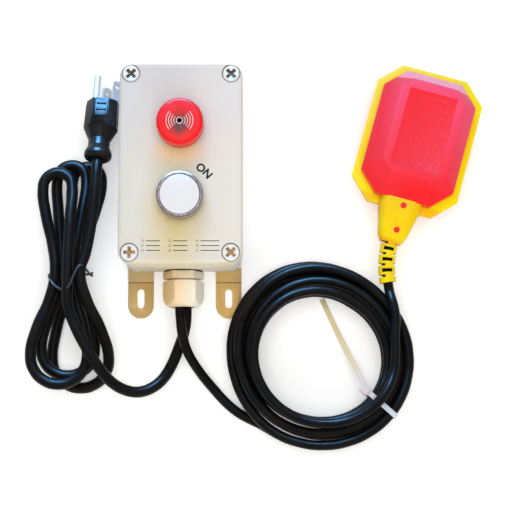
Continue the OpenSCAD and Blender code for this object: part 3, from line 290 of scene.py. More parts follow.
def shell_finish(tone):
    """Painted warm light beside the gland and below the cap, painted light that makes it a little brighter
    to the right, in its low part and on its near wall, a painted glow under the cap, and painted shade round
    the screw heads.
    """
    shell = Finish("shell_plastic", tone.shell_cool, 0.42, Specular_IOR_Level=0.12)
    # painted warm light: a pool with a ragged edge, and a band along the end beside the gland
    drift = shell.math("MULTIPLY_ADD", shell.noise(22, 3), 0.7, shell.away(WARM_LIGHT_AT, WARM_LIGHT_REACH))
    warm_light = shell.spread(drift, 1, 0, 0.55, 1.75)
    ends = shell.band("Y", WARM_LIGHT_END, 0, 0.1)
    # painted light: the lid brighter to the right, and warmer and brighter in its low part
    low_part_light = shell.band("Y", LOW_PART, 1, 0)
    left = shell.blend(low_part_light, tone.shell_cool, (0.725, 0.715, 0.665))
    right = shell.blend(low_part_light, scaled(tone.shell_cool, 1.15, 1.1, 1.06), (0.80, 0.775, 0.725))
    side_lit_tone = shell.blend(shell.band("X", LID_SIDES), left, right)
    painted_light_tone = shell.blend(shell.math("MAXIMUM", warm_light, ends), side_lit_tone, tone.shell_warm_light)
    # painted light on the near wall of the box
    painted_light_tone = shell.blend(shell.band("Y", NEAR_WALL, 1, 0), painted_light_tone, (0.88, 0.80, 0.61))
    # painted glow: warm light from the cap, painted on the lid below it
    glow = shell.spread(shell.away(CAP_GLOW_AT, CAP_GLOW_REACH), 0.62, 0, 0.4, 1)
    painted_light_tone = shell.blend(glow, painted_light_tone, (0.97, 0.70, 0.33))
    # painted shade in the seats round the screw heads
    shell.paint(shell.blend(screw_seat_shade(shell), painted_light_tone, (0.10, 0.08, 0.07)))
    shell.texture((120, 4), (0.36, 0.5), (3200, 2), (0.3, 0.02))
    shell.bump(shell.noise(60, 2), 0.15, 0.15)
    return shell


def screw_finish(_):
    """White heads whose cross slots show the worn metal of the screw, darkened on the far screws by painted
    shade in the recess.
    """
    white = Finish("screw_nylon", (0.84, 0.84, 0.82), 0.32)
    # painted shade: the slots of the far screws are darker
    far = white.band("Y", (-0.01, 0.01))
    bare = white.blend(far, (0.56, 0.34, 0.11), (0.12, 0.09, 0.05))
    dull = white.blend(far, (0.24, 0.14, 0.05), (0.02, 0.018, 0.012))
    worn = white.blend(white.spread(white.noise(420, 3), 0, 1, 0.4, 0.62), bare, dull)
    deep = white.band("Z", SLOT_FLOOR, 1, 0)
    white.paint(white.blend(deep, (0.84, 0.84, 0.82), worn))
    white.texture((150, 3), (0.26, 0.42), (2400, 2), (0.3, 0.02))
    return white


def gland_finish(_):
    """Painted light makes it warm and orange on its left and white on its right; painted shade darkens the
    hexagon next to the box.
    """
    gland = Finish("gland_nylon", (0.86, 0.78, 0.62), 0.38)
    # painted light across the gland: warm on the left, white on the right
    side = gland.band("X", (-0.012, 0.012))
    turned = gland.blend(side, (0.88, 0.58, 0.23), (0.96, 0.95, 0.87))
    # painted shade on the hexagon under the box's edge
    hexagon = gland.band("Y", HEXAGON_EDGE, 0, 0.4)
    gland.paint(gland.blend(hexagon, turned, (0.56, 0.44, 0.25)))
    gland.texture((150, 3), (0.3, 0.46), (2400, 2), (0.3, 0.02))
    return gland


def cap_finish(tone):
    """A red lens with the dark sounder behind its hole."""
    cap = Finish("alarm_red_lens", tone.alarm_red, 0.3, Specular_IOR_Level=0.25,
                 Subsurface_Weight=0.12, Subsurface_Scale=0.004)
    distance = cap.away(SOUND_HOLE_AT, SOUND_HOLE_REACH)
    shade = cap.math("MULTIPLY_ADD", cap.noise(260, 2), 0.005, distance)
    cap.paint(cap.blend(cap.spread(shade, 1, 0, *SOUND_HOLE_EDGE), tone.alarm_red, (0.17, 0.05, 0.035)))
    cap.texture((140, 3), (0.24, 0.38), (900, 2), (0.25, 0.02))
    return cap


def lens_finish(_):
    return moulded("lamp_lens", (0.83, 0.83, 0.87), 0.34, grain=1800, tone=0.97,
                   Subsurface_Weight=0.25, Subsurface_Scale=0.004)


def cord_finish(tone):
    cord = Finish("cord_jacket", tone.cord_black, 0.3, Specular_IOR_Level=0.18)
    grey = cord.spread(cord.noise(60, 4), 0, 1, 0.35, 0.7)
    cord.paint(cord.blend(grey, tone.cord_black, (0.007, 0.006, 0.005)))
    cord.texture((110, 4), (0.26, 0.4), (420, 3), (0.12, 0.05))
    return cord


def plug_finish(tone):
    plug = Finish("plug_moulding", tone.cord_black, 0.36, Specular_IOR_Level=0.34)
    dust = plug.spread(plug.noise(75, 3), 0, 1, 0.4, 0.75)
    plug.paint(plug.blend(dust, tone.cord_black, (0.011, 0.011, 0.012)))
    plug.texture((160, 4), (0.2, 0.36), (1600, 3), (0.35, 0.03))
    return plug


def lug_finish(tone):
    """Brushed plating, lighter above the fold with painted light, tinted to the right, and dark along the
    fold with painted shade.
    """
    brass = Finish("lug_plating", tone.lug_metal, 0.36, Metallic=0.55)
    stain = brass.noise(70, 4, distortion=0.6)
    tint = brass.blend(brass.spread(stain, 0, 1, 0.35, 0.65), tone.lug_metal, (0.72, 0.49, 0.20))
    # painted light: the part above the fold is lighter
    tint = brass.blend(brass.band("Y", LUG_FOLD_EDGE, 0, 0.6), tint, (0.86, 0.66, 0.33))
    tint = brass.blend(brass.band("X", (-0.01, 0.01), 0, 0.7), tint, (0.95, 0.62, 0.21))
    # painted shade along the fold
    fold = brass.spread(brass.off(brass.axis("Y"), LUG_FOLD), 0.75, 0, 0.2 * MM, 0.5 * MM)
    brass.paint(brass.blend(fold, tint, (0.22, 0.12, 0.05)))
    brass.texture((320, 4, (9, 1, 1)), (0.3, 0.52), (320, 4, (9, 1, 1)), (0.2, 0.02))
    return brass


def float_plan(finish):
    """The float's own coordinates: X across it, Y from its cord to its far end."""
    turn = math.radians(FLOAT_TURN)
    at = Matrix.Rotation(turn, 3, "Z") @ (Vector((FLOAT_AT[0], FLOAT_AT[1], 0)) * MM)
    return finish.mapped((-at.x, -at.y, 0), turn=turn)


def yellow_finish(tone):
    """Boot, neck and frame each have their own yellow; the lip of the neck is orange with painted shade,
    where it faces down.
    """
    yellow = Finish("float_frame_yellow", tone.float_yellow, 0.36, Specular_IOR_Level=0.16,
                    Subsurface_Weight=0.06, Subsurface_Scale=0.003)
    # painted shade: the orange stops are the lip of the neck, where it faces down
    yellows_and_lip_shade = [((place - FRAME_START) / (FRAME_END - FRAME_START), colour) for place, colour in (
        (-0.0745, tone.float_yellow), (-0.0735, (0.78, 0.25, 0.0)), (-0.0706, (0.80, 0.30, 0.0)),
        (-0.0690, (0.90, 0.58, 0.0)), (-0.0440, (0.90, 0.58, 0.0)), (-0.0415, (0.96, 0.82, 0.0)))]
    along = yellow.band("Y", (FRAME_START, FRAME_END), source=float_plan(yellow))
    own = yellow.ramp(along, yellows_and_lip_shade)
    drift = yellow.spread(yellow.noise(34, 3), 0, 0.45, 0.35, 0.7)
    yellow.paint(yellow.blend(drift, own, (1.0, 0.88, 0.012)))
    yellow.texture((120, 4), (0.3, 0.46), (1500, 2), (0.4, 0.03))
    return yellow


def red_finish(tone):
    """Covers pinker towards their far and left sides and on their brim, a painted reflection of the blue
    window; a random tone drift over it; the sunk panel keeps its colour and texture.
    """
    red = Finish("float_cover_red", tone.float_red, 0.32, Specular_IOR_Level=0.22,
                 Subsurface_Weight=0.06, Subsurface_Scale=0.003)
    plan = float_plan(red)
    across, along = red.axis("X", plan), red.axis("Y", plan)
    inside = red.math("MULTIPLY", *(
        red.spread(red.off(value, middle * MM), 1, 0, (size / 2 - 0.6) * MM, (size / 2 + 0.2) * MM)
        for value, middle, size in zip((across, along), PANEL_AT, PANEL)))
    # painted reflection: pinker towards the far and left sides
    sheen_share = red.math("MULTIPLY_ADD", across, -1.4, red.spread(along, 0, 0.7, *COVER_LENGTH), use_clamp=True)
    sheen_share = red.math("MULTIPLY", sheen_share, red.spread(across, 0.25, 1, *COVER_LEFT))
    painted_sheen_and_tone = red.blend(sheen_share, tone.float_red, (0.98, 0.12, 0.30))
    # painted reflection on the far brim
    painted_sheen_and_tone = red.blend(red.spread(along, 0, 1, *COVER_BRIM), painted_sheen_and_tone, (1.0, 0.47, 0.74))
    painted_sheen_and_tone = red.blend(red.spread(red.noise(34, 3), 0, 0.35, 0.35, 0.7), painted_sheen_and_tone, (0.93, 0.06, 0.09))
    red.paint(red.blend(inside, painted_sheen_and_tone, tone.float_red))
    red.sheen_map(inside, 0.3, 0.5)
    grain = red.noise(560, 0.6, (1, 0.75, 1), plan)
    red.bump(red.noise(1500, 2), 0.35, 0.03)
    red.bump(red.math("MULTIPLY", red.spread(grain, 0, 1, 0.52, 0.6), inside), 0.5, 0.12)
    return red


def nylon_finish(tone):
    """The strap is pale, bluish at its near end and pinkish white further on, and the free end of the tie is
    tan.
    """
    nylon = Finish("tie_nylon", tone.nylon, 0.38, Specular_IOR_Level=0.15,
                   Subsurface_Weight=0.15, Subsurface_Scale=0.002)
    strap = nylon.band("Y", STRAP)
    clear = nylon.blend(strap, (0.62, 0.70, 0.80), (0.84, 0.78, 0.82))
    nylon.paint(nylon.blend(nylon.band("Y", STRAP_END), clear, tone.nylon))
    nylon.texture((110, 3), (0.32, 0.46), (1800, 2), (0.3, 0.02))
    return nylon


# the metals without a pattern of colours: colour, roughness, metallic, and the values of their texture
METALS = {
    "chrome": ("bezel_chrome", (0.50, 0.42, 0.42), 0.2, 1.0,
               ((200, 3), (0.15, 0.28), (260, 2, (1, 1, 3)), (0.05, 0.01))),
    "contact": ("contact_plating", (0.74, 0.80, 0.87), 0.3, 0.6,
                ((220, 3, (6, 1, 6)), (0.26, 0.38), (300, 2, (6, 1, 6)), (0.04, 0.01))),
    "steel": ("bright_steel", (0.66, 0.66, 0.68), 0.28, 1.0,
              ((500, 4), (0.2, 0.42), (900, 2), (0.12, 0.01))),
}

FINISHES = {}


def make_finishes():
    for name, build in (
        ("shell", shell_finish), ("screw", screw_finish), ("gland", gland_finish), ("alarm_red", cap_finish),
        ("lens", lens_finish), ("cord", cord_finish), ("plug", plug_finish), ("lug", lug_finish),
        ("float_yellow", yellow_finish), ("float_red", red_finish), ("nylon", nylon_finish),
    ):
        FINISHES[name] = build(colours()).material
    for name, (title, colour, roughness, metallic, texture) in METALS.items():
        metal = Finish(title, colour, roughness, Metallic=metallic)
        metal.texture(*texture)
        FINISHES[name] = metal.material
    for name, finish in (
        ("black", moulded("black_moulding", (0.02, 0.02, 0.022), 0.45)),
        ("seal", moulded("seal_rubber", (0.03, 0.03, 0.032), 0.62, grain=900, depth=0.05)),
        ("ivory", moulded("ivory_moulding", (0.80, 0.78, 0.72), 0.42)),
        ("twist", moulded("twist_tie_coat", (0.035, 0.035, 0.04), 0.34)),
        ("ink", moulded("print_ink", (0.02, 0.017, 0.017), 0.55, grain=4000, Specular_IOR_Level=0.15)),
        ("white_ink", moulded("white_ink", (0.90, 0.66, 0.64), 0.45, grain=4000)),
        ("board", moulded("lamp_board", (0.03, 0.12, 0.05), 0.4)),
    ):
        FINISHES[name] = finish.material


# ---------------------------------------------------------------- modelling helpers


CAD_MERGE = 0.002 * MM
INK_MERGE = 0.005 * MM
INK_STEP = 6  # degrees of a printed arc between two of its points


def deselect_all():
    if bpy.context.object is not None and bpy.context.object.mode != "OBJECT":
        bpy.ops.object.mode_set(mode="OBJECT")
    bpy.ops.object.select_all(action="DESELECT")


def only(piece):
    deselect_all()
    piece.select_set(True)
    bpy.context.view_layer.objects.active = piece


def settle(piece):
    """Puts the piece's place into its mesh, so that its object sits at the origin."""
    only(piece)
    bpy.ops.object.transform_apply(location=True, rotation=True, scale=True)


def dress(piece, name, finish, body, *nodes, smooth=35.0, slot=None):
    """Names a finished piece, gives it its finish and body, and hides the CAD nodes it stands for."""
    piece.name = name
    piece.data.name = name
    piece.data.materials.clear()
    piece.data.materials.append(FINISHES[finish])
    if piece.type == "MESH" and smooth:
        only(piece)
        bpy.ops.object.shade_smooth_by_angle(angle=math.radians(smooth))
    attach(piece, body)
    if nodes:
        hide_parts(*nodes)
    return piece


def bounds(node):
    """The lowest and highest corner of a CAD node."""
    points = [vertex.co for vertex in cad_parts[node].data.vertices]
    return [Vector(tuple(pick(point[k] for point in points) for k in range(3))) for pick in (min, max)]


def paint_nodes(finish, *nodes):
    """Gives CAD nodes a finish, in each of their material slots."""
    for node in nodes:
        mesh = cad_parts[node].data
        if not mesh.materials:
            mesh.materials.append(FINISHES[finish])
        for index in range(len(mesh.materials)):
            mesh.materials[index] = FINISHES[finish]


def softened(node, rounding, segments=3, angle=28.0):
    """A merged copy of a CAD node with its edges rounded."""
    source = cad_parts[node]
    piece = bpy.data.objects.new(node + "_moulded", source.data.copy())
    bpy.context.scene.collection.objects.link(piece)
    only(piece)
    bpy.ops.object.mode_set(mode="EDIT")
    bpy.ops.mesh.select_all(action="SELECT")
    bpy.ops.mesh.remove_doubles(threshold=CAD_MERGE)
    bpy.ops.mesh.dissolve_limited(angle_limit=math.radians(0.6))
    bpy.ops.object.mode_set(mode="OBJECT")
    if rounding > 0:
        bevel = piece.modifiers.new("edges", "BEVEL")
        bevel.width = rounding
        bevel.segments = segments
        bevel.limit_method = "ANGLE"
        bevel.angle_limit = math.radians(angle)
        bevel.use_clamp_overlap = True
        bevel.miter_outer = "MITER_ARC"
        bpy.ops.object.modifier_apply(modifier="edges")
    return piece


def mould(node, name, finish, body, slot, rounding, segments=3, angle=28.0):
    """The softened copy of a node, dressed as the piece that stands for it; rounding in millimetres."""
    return dress(softened(node, rounding * MM, segments, angle), name, finish, body, node, slot=slot)


def joined(pieces):
    deselect_all()
    for piece in pieces:
        piece.select_set(True)
    bpy.context.view_layer.objects.active = pieces[0]
    bpy.ops.object.join()
    return bpy.context.view_layer.objects.active


def rounded_bar(size, rounding, matrix):
    """A bar with rounded edges, laid in place by a matrix."""
    deselect_all()
    bpy.ops.mesh.primitive_cube_add(size=1)
    bar = bpy.context.object
    bar.scale = size
    settle(bar)
    bevel = bar.modifiers.new("edges", "BEVEL")
    bevel.width = rounding
    bevel.segments = 3
    bpy.ops.object.modifier_apply(modifier="edges")
    bar.matrix_world = matrix
    settle(bar)
    return bar


# ---------------------------------------------------------------- routes of the cords, in millimetres

HANK_RISE = 8.3
WAIST_HALF = 6
WAIST_STEP = 2.83
WAIST = (-74.5, -66)
HANK_LIFT = 1.5
LOOPS = 3
LOBE_STEPS = 12
CLIMB_STEP = 5  # where an upper lobe starts to climb
DROP_START, DROP_RUN = 18, 63
LOWER = ((-70, 19.5, 77), (-78, 18, 69), (-83, 19, 75))
UPPER = ((-67.5, 10, 75), (-77, 10, 74.5), (-85.5, 10, 68))
PLUG_AT = Vector((-58.3, 10, 26.2))
PLUG_DIP = 15
PLUG_ROLL = 37
PLUG_LEAN = 3
GLAND_Z = 21
BOX_END = -65
SEAL_START = 7.2
GLAND_LEN = 24.8
PAIR_TURN = 60
PAIR_GAP = 0.29


def ease(share):
    share = min(1.0, max(0.0, share))
    return share * share * (3 - 2 * share)


def mix(a, b, share):
    return a + (b - a) * share


def level(loop):
    return CORD_D / 2 + loop * HANK_RISE


def lobe(step, height, radius):
    """Sideways share, distance from the waist and share of the lobe's own centre."""
    quarter = LOBE_STEPS / 4
    run = height - radius
    if step <= quarter or step >= 3 * quarter:
        side = 1 if step <= quarter else -1
        share = step / quarter if step <= quarter else (LOBE_STEPS - step) / quarter
        soft = (1 - math.cos(math.pi * share)) / 2
        return side * mix(WAIST_HALF, radius, soft), run * share, soft
    turn = math.pi / 2 * (step - quarter) / quarter
    return radius * math.cos(turn), run + radius * math.sin(turn), 1


def lobe_distance(step, height, radius):
    quarter = LOBE_STEPS / 4
    run = height - radius
    if step <= quarter:
        return run * step / quarter
    return run + radius * math.pi * (step - quarter) / (2 * quarter)


def upper_climb(step, height, radius):
    quarter = LOBE_STEPS / 4
    run = height - radius
    climb = math.pi * radius * 2 / 3 + run * 2 / 3
    if step <= CLIMB_STEP:
        return 0
    if step <= 3 * quarter:
        return radius * math.pi * (step - CLIMB_STEP) / (2 * quarter) / climb
    return (math.pi * radius * 2 / 3 + run * (step - 3 * quarter) / quarter) / climb


def waist_x(loop):
    return WAIST[0] - WAIST_STEP * loop


def lower_point(loop, step):
    x, radius, height = LOWER[loop]
    side, run, inward = lobe(step, height, radius)
    z = level(loop)
    if loop == 0:
        share = (lobe_distance(step, height, radius) - DROP_START) / DROP_RUN
        z = mix(level(LOOPS), level(0), ease(share))
    lift = HANK_LIFT if step in (0, LOBE_STEPS) else 0
    return (mix(waist_x(loop), x, inward) + side, WAIST[1] - run, z + lift)


def upper_point(loop, step):
    x, radius, height = UPPER[loop]
    side, run, share = lobe(step, height, radius)
    start = waist_x(loop) if step < LOBE_STEPS / 2 else waist_x(loop + 1)
    z = level(loop) + HANK_RISE * ease(upper_climb(step, height, radius))
    lift = HANK_LIFT if step in (0, LOBE_STEPS) else 0
    return (mix(start, x, share) - side, WAIST[1] + run, z + lift)


def plug_axis():
    dip, lean = math.radians(PLUG_DIP), math.radians(PLUG_LEAN)
    return Vector((math.sin(lean) * math.cos(dip), math.cos(lean) * math.cos(dip), -math.sin(dip)))


def pair_place(diameter, side):
    angle = math.radians(PAIR_TURN)
    pitch = (CORD_D + CABLE_D) / 2 + PAIR_GAP
    radius = (CORD_D + CABLE_D) / 4 + pitch / 2
    reach = side * (radius - diameter / 2)
    return (-math.cos(angle) * reach, math.sin(angle) * reach)


def gland_points(place, distances):
    return [(place[0], BOX_END - d, GLAND_Z + place[1]) for d in distances]


def hank_points():
    start = [tuple(PLUG_AT + 3 * plug_axis()), tuple(PLUG_AT - CORD_D * plug_axis()),
             (-59.1, -6, 29.2), (-59.8, -17, 29.6), (-61, -29, 29.6), (-62.8, -42, 29.6),
             (-65.2, -54.5, 29.9)]
    wound = []
    for loop in range(LOOPS):
        wound += [lower_point(loop, step) for step in range(LOBE_STEPS)]
        wound += [upper_point(loop, step) for step in range(LOBE_STEPS)]
    return start + wound


def power_cord_route():
    top = level(LOOPS) + HANK_LIFT
    end = (waist_x(LOOPS) + WAIST_HALF, WAIST[1], top)
    lead = [
        end, (end[0], end[1] - CORD_D, top), (end[0], end[1] - 2 * CORD_D, top),
        (-76.7, -87, 30), (-75.3, -93, 29.6), (-72.9, -99, 29.2),
        (-69, -107.5, 29), (-64.7, -115.4, 28.9), (-61.5, -121, 28.7), (-58.1, -126.5, 28),
        (-54.2, -132, 26.6), (-49.8, -137.4, 24.4), (-44.8, -141.6, 21.8), (-39, -144.6, 19),
        (-33, -146, 16.6), (-27, -145.5, 14.5), (-21, -143, 12.7), (-15.5, -138.8, 11.3),
        (-11.4, -133.6, 10.5), (-8.2, -127.8, 10.2), (-5.6, -122, 10.3), (-3.4, -116.2, 10.8),
        (-1.2, -110.4, 11.9), (0.4, -104.8, 13.8), (1.4, -99.4, 16.1),
    ]
    gland = gland_points(pair_place(CORD_D, -1), (GLAND_LEN + 3, GLAND_LEN, SEAL_START))
    return list(reversed(hank_points() + lead + gland))


COIL_AT = (93.3, -120.2)
COIL_START = 240
COIL_R_IN = 42
COIL_TURNS = 2.5
COIL_LAYERS = 3
COIL_WIDE = 1.6
COIL_BULGE, COIL_BULGE_SIDE = 1.6, -20
COIL_TUCK, COIL_TUCK_SIDE = 2.3, 44
COIL_SPREAD_NEAR, COIL_SPREAD_FAR, COIL_FAR_SIDE = 1.9, 5, 118
TIE_ANGLE = -41
TIE_LIFT = 1.4
BUMP_FLAT, BUMP_REACH = 12, 26


def side_share(angle, direction):
    """How far an angle lies towards a direction, from 0 to 1; both in degrees."""
    return max(0.0, math.cos(math.radians(angle - direction))) ** 2


def coil_point(turns):
    pitch = sizes().coil_pitch / MM
    outer = COIL_R_IN + pitch * COIL_TURNS
    layer = math.floor(turns / COIL_TURNS + 1e-6)
    within = turns - layer * COIL_TURNS
    radius = outer - pitch * within if layer % 2 == 0 else COIL_R_IN + pitch * within
    degrees = COIL_START + 360 * turns
    outward = (radius - COIL_R_IN) / (outer - COIL_R_IN)
    spread = (COIL_SPREAD_NEAR * side_share(degrees, -90)
              + COIL_SPREAD_FAR * side_share(degrees, COIL_FAR_SIDE))
    radius += (COIL_WIDE * side_share(degrees, 180) + COIL_BULGE * side_share(degrees, COIL_BULGE_SIDE)
               + outward * spread
               - COIL_TUCK * side_share(degrees, COIL_TUCK_SIDE))
    angle = math.radians(degrees)
    climb = sum(ease((turns - k * COIL_TURNS + 0.25) / 0.5) for k in range(1, COIL_LAYERS + 1))
    off = abs((degrees - TIE_ANGLE + 180) % 360 - 180)
    rise = ease((BUMP_REACH - off) / (BUMP_REACH - BUMP_FLAT)) * TIE_LIFT
    if turns > COIL_LAYERS * COIL_TURNS + 0.3:
        rise *= 2
    return (COIL_AT[0] + radius * math.cos(angle), COIL_AT[1] + radius * math.sin(angle),
            CABLE_D / 2 + pitch * climb + rise)


def coil_points():
    total = math.ceil(COIL_LAYERS * COIL_TURNS) + (360 - COIL_START) / 360
    count = round(total * 24)
    return [coil_point(total * i / count) for i in range(count + 1)]


def float_cable_route():
    coil = coil_points()
    angle = math.radians(COIL_START)
    heading = Vector((-math.sin(angle), math.cos(angle), 0))
    first = Vector(coil[0])
    lead = gland_points(pair_place(CABLE_D, 1), (SEAL_START, GLAND_LEN, GLAND_LEN + 3)) + [
        (-1.6, -98.5, 23.5), (-1, -105, 22), (0.3, -111.5, 20), (2.3, -118, 17.2), (5.6, -124.6, 13.4),
        (9.8, -131, 9.2), (14.6, -137.3, 6), (19.9, -143.5, 4.1), (25.2, -149.5, 3.4), (30.8, -155, 3.3),
        (36.9, -159.7, 3.3), (43.4, -163.4, 3.3),
        tuple(first - 2 * CABLE_D * heading), tuple(first - CABLE_D * heading),
    ]
    last = coil[-1]
    return lead + coil + [(last[0], last[1] + CABLE_D, last[2])]


FLOAT_AT = (158, 23.1, 21.5)
FLOAT_TURN = 15.5
PANEL = (32.7, 52.9)  # the sunk panel of each cover, and its middle
PANEL_AT = (1.8, 3.75)
BOOT_BEND = 63.6
BOOT_SWEEP = 24.5
BOOT_START = -71.75


def float_place(x, y, z):
    turn = math.radians(FLOAT_TURN)
    return Vector((
        FLOAT_AT[0] + x * math.cos(turn) + y * math.sin(turn),
        FLOAT_AT[1] - x * math.sin(turn) + y * math.cos(turn),
        FLOAT_AT[2] + z,
    ))


def tail_route():
    last = coil_points()[-1]
    sweep = math.radians(BOOT_SWEEP)
    mouth = float_place(BOOT_BEND * (1 - math.cos(sweep)), BOOT_START - BOOT_BEND * math.sin(sweep), 0)
    way = math.radians(BOOT_SWEEP - FLOAT_TURN)
    out = Vector((math.sin(way), -math.cos(way), 0))
    x, y, z = last
    return [(x, y + CABLE_D, z), (x, y + 2 * CABLE_D, z), (141.8, -97, 24.8), (140.9, -90.5, 24.9),
            (139.4, -84.3, 23.8), tuple(mouth + CABLE_D * out), tuple(mouth), tuple(mouth - 4 * out)]


def cord_curve(name, route, diameter):
    """A round cord along one smooth spline through its route, given in millimetres."""
    curve = bpy.data.curves.new(name, "CURVE")
    curve.dimensions = "3D"
    curve.bevel_depth = diameter / 2
    curve.bevel_resolution = 6
    curve.resolution_u = 6
    curve.use_fill_caps = True
    spline = curve.splines.new("BEZIER")
    spline.bezier_points.add(len(route) - 1)
    for point, place in zip(spline.bezier_points, route):
        point.co = Vector(place) * MM
        point.handle_left_type = "AUTO"
        point.handle_right_type = "AUTO"
    piece = bpy.data.objects.new(name, curve)
    bpy.context.scene.collection.objects.link(piece)
    return piece


def route_length(route):
    return sum((Vector(b) - Vector(a)).length for a, b in zip(route, route[1:])) * MM


# ---------------------------------------------------------------- pieces


def plug_matrix():
    return (
        Matrix.Translation(PLUG_AT * MM)
        @ Matrix.Rotation(math.radians(-PLUG_LEAN), 4, "Z")
        @ Matrix.Rotation(math.radians(-90 - PLUG_DIP), 4, "X")
        @ Matrix.Rotation(math.radians(PLUG_ROLL), 4, "Z")
    )


# the raised panel and its two grip bars: size, height up the plug, rounding
PLUG_BARS = (((9.0, 12.6, 1.5), 34.3, 0.5), ((6.6, 1.5, 2.9), 37.3, 0.6), ((6.6, 1.5, 2.9), 32.6, 0.6))
PLUG_CORNERS = ((-10, -5.5), (-2, -11.5))
BAR_SINK = 0.965


def build_plug():
    body = softened("plug_body", 0.9 * MM, 4, 20)
    # one panel on each shoulder face, from corner to corner of the section
    bars = []
    for side in (1, -1):
        a, b = (Vector((x, y * side, 0)) for x, y in PLUG_CORNERS)
        middle, along = (a + b) / 2, (b - a).normalized()
        outward = Vector((along.y, -along.x, 0))
        if outward.dot(middle) < 0:
            outward = -outward
        tilt = Matrix((
            (along.x, 0, outward.x, 0), (along.y, 0, outward.y, 0), (0, 1, 0, 0), (0, 0, 0, 1)
        ))
        for size, height, rounding in PLUG_BARS:
            place = Matrix.Translation((middle * BAR_SINK + Vector((0, 0, height))) * MM)
            size = tuple(length * MM for length in size)
            bars.append(rounded_bar(size, rounding * MM, plug_matrix() @ place @ tilt))
    plug = joined([body] + bars)
    dress(plug, "plug_moulding", "plug", HOUSING, "plug_body", slot="cord")
    paint_nodes("contact", "plug_blades", "plug_ground_pin")
    return plug


WIRE_D = 1.6
WIRE_GAP = 0.9


def build_ties():
    tie = mould("coil_tie", "nylon_tie", "nylon", HOUSING, "nylon", 0.18, 2, 40)

    # the wire tie goes slantwise round the waist of the hank, and its ends are twisted together
    reach = CORD_D / 2 + WIRE_GAP
    top = level(LOOPS) + HANK_LIFT + reach
    low = 1.7
    left, right = waist_x(2) - WAIST_HALF - reach, waist_x(0) + WAIST_HALF + reach
    y = WAIST[1]
    route = [
        (right + 2.4, y - 2.4, 20), (right + 0.8, y - 1.2, 23), (right - 0.6, y + 0.8, 29),
        (right - 4, y + 3.4, top - 0.8), (-69.6, y + 1.6, top), (-72.6, y - 4.5, top),
        (-75.2, y - 10.5, top - 0.4), (-79, y - 12.6, 30.6), (left + 5.4, y - 9.6, 27.4),
        (left + 1.4, y - 4.5, 24.4), (left, y - 1, 17), (left + 0.6, y - 0.6, 10),
        (left + 3.5, y - 0.6, 4), (left + 6.5, y - 0.3, low), (-76, y, low),
        (right - 5.5, y + 0.4, low + 1.6), (right - 1.5, y, 8), (right - 0.2, y - 0.4, 15),
        (right + 0.6, y - 1, 19), (right + 2.6, y - 0.6, 22),
    ]
    wire = cord_curve("hank_wire_tie", route, WIRE_D * MM)
    dress(wire, "hank_wire_tie", "twist", HOUSING, "hank_tie", slot="tie_black")
    return wire, tie


def build_cords():
    power = cord_curve("power_cord", power_cord_route(), sizes().power_cord_diameter)
    dress(power, "power_cord", "cord", HOUSING, "power_cord_lead", "power_cord_hank", slot="cord")
    cable = cord_curve("float_cable", float_cable_route(), sizes().float_cable_diameter)
    dress(cable, "float_cable", "cord", HOUSING, "float_cable_lead", "float_cable_coil", slot="cord")
    tail = cord_curve("float_cable_tail_jacket", tail_route(), sizes().float_cable_diameter)
    only(tail)
    tail.data.materials.append(FINISHES["cord"])
    bpy.ops.object.convert(target="MESH")
    tail = bpy.context.object
    tail.name = "float_cable_end"
    only(tail)
    bpy.ops.object.shade_smooth_by_angle(angle=math.radians(60))
    route = tail_route()
    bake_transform(tail)
    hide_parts("float_cable_tail")

    plug = build_plug()
    wire, tie = build_ties()
    route_length(power_cord_route())
    route_length(float_cable_route())


def build_box():
    rounding = sizes().edge_round / MM
    mould("enclosure_base", "box_tub", "shell", HOUSING, "shell", rounding * 0.6)
    mould("enclosure_lid", "box_lid", "shell", HOUSING, "shell", rounding)
    mould("lid_screws", "lid_screw_heads", "screw", HOUSING, "screw_white", rounding * 0.5, 2)
    paint_nodes("seal", "lid_gasket")


def build_lugs():
    for node in ("lug_left", "lug_right"):
        mould(node, node + "_sheet", "lug", HOUSING, "brass", 0.28, 3, 40)
    paint_nodes("steel", "lug_screws")


def ring_mark(radius, width, thickness, centre, start=0.0, sweep=360.0):
    """A printed arc: one flat segment spun about its centre."""
    deselect_all()
    bpy.ops.mesh.primitive_plane_add(size=1)
    mark = bpy.context.object
    mark.scale = (width, 0.0001 * MM, 1)
    mark.location = (radius, 0, 0)
    settle(mark)
    bpy.ops.object.mode_set(mode="EDIT")
    bpy.ops.mesh.select_all(action="SELECT")
    bpy.ops.mesh.remove_doubles(threshold=INK_MERGE)
    bpy.ops.mesh.spin(
        steps=max(8, int(sweep / INK_STEP)), angle=math.radians(sweep), center=(0, 0, 0), axis=(0, 0, 1)
    )
    bpy.ops.mesh.select_all(action="SELECT")
    bpy.ops.mesh.remove_doubles(threshold=INK_MERGE)
    bpy.ops.mesh.normals_make_consistent(inside=False)
    bpy.ops.object.mode_set(mode="OBJECT")
    mark.matrix_world = Matrix.Translation(centre) @ Matrix.Rotation(math.radians(start), 4, "Z")
    settle(mark)
    solid = mark.modifiers.new("ink", "SOLIDIFY")
    solid.thickness = thickness
    solid.offset = 0
    only(mark)
    bpy.ops.object.modifier_apply(modifier="ink")
    return mark


# the sound mark: a ring between arcs to both sides
CAP_TOP = (0, 24, 86)
SOUND_RING = 2.0
SOUND_ARCS = (3.6, 5.2, 6.9, 8.6)
SOUND_LINE = 0.45
SOUND_FROM, SOUND_SWEEP = 42, 84


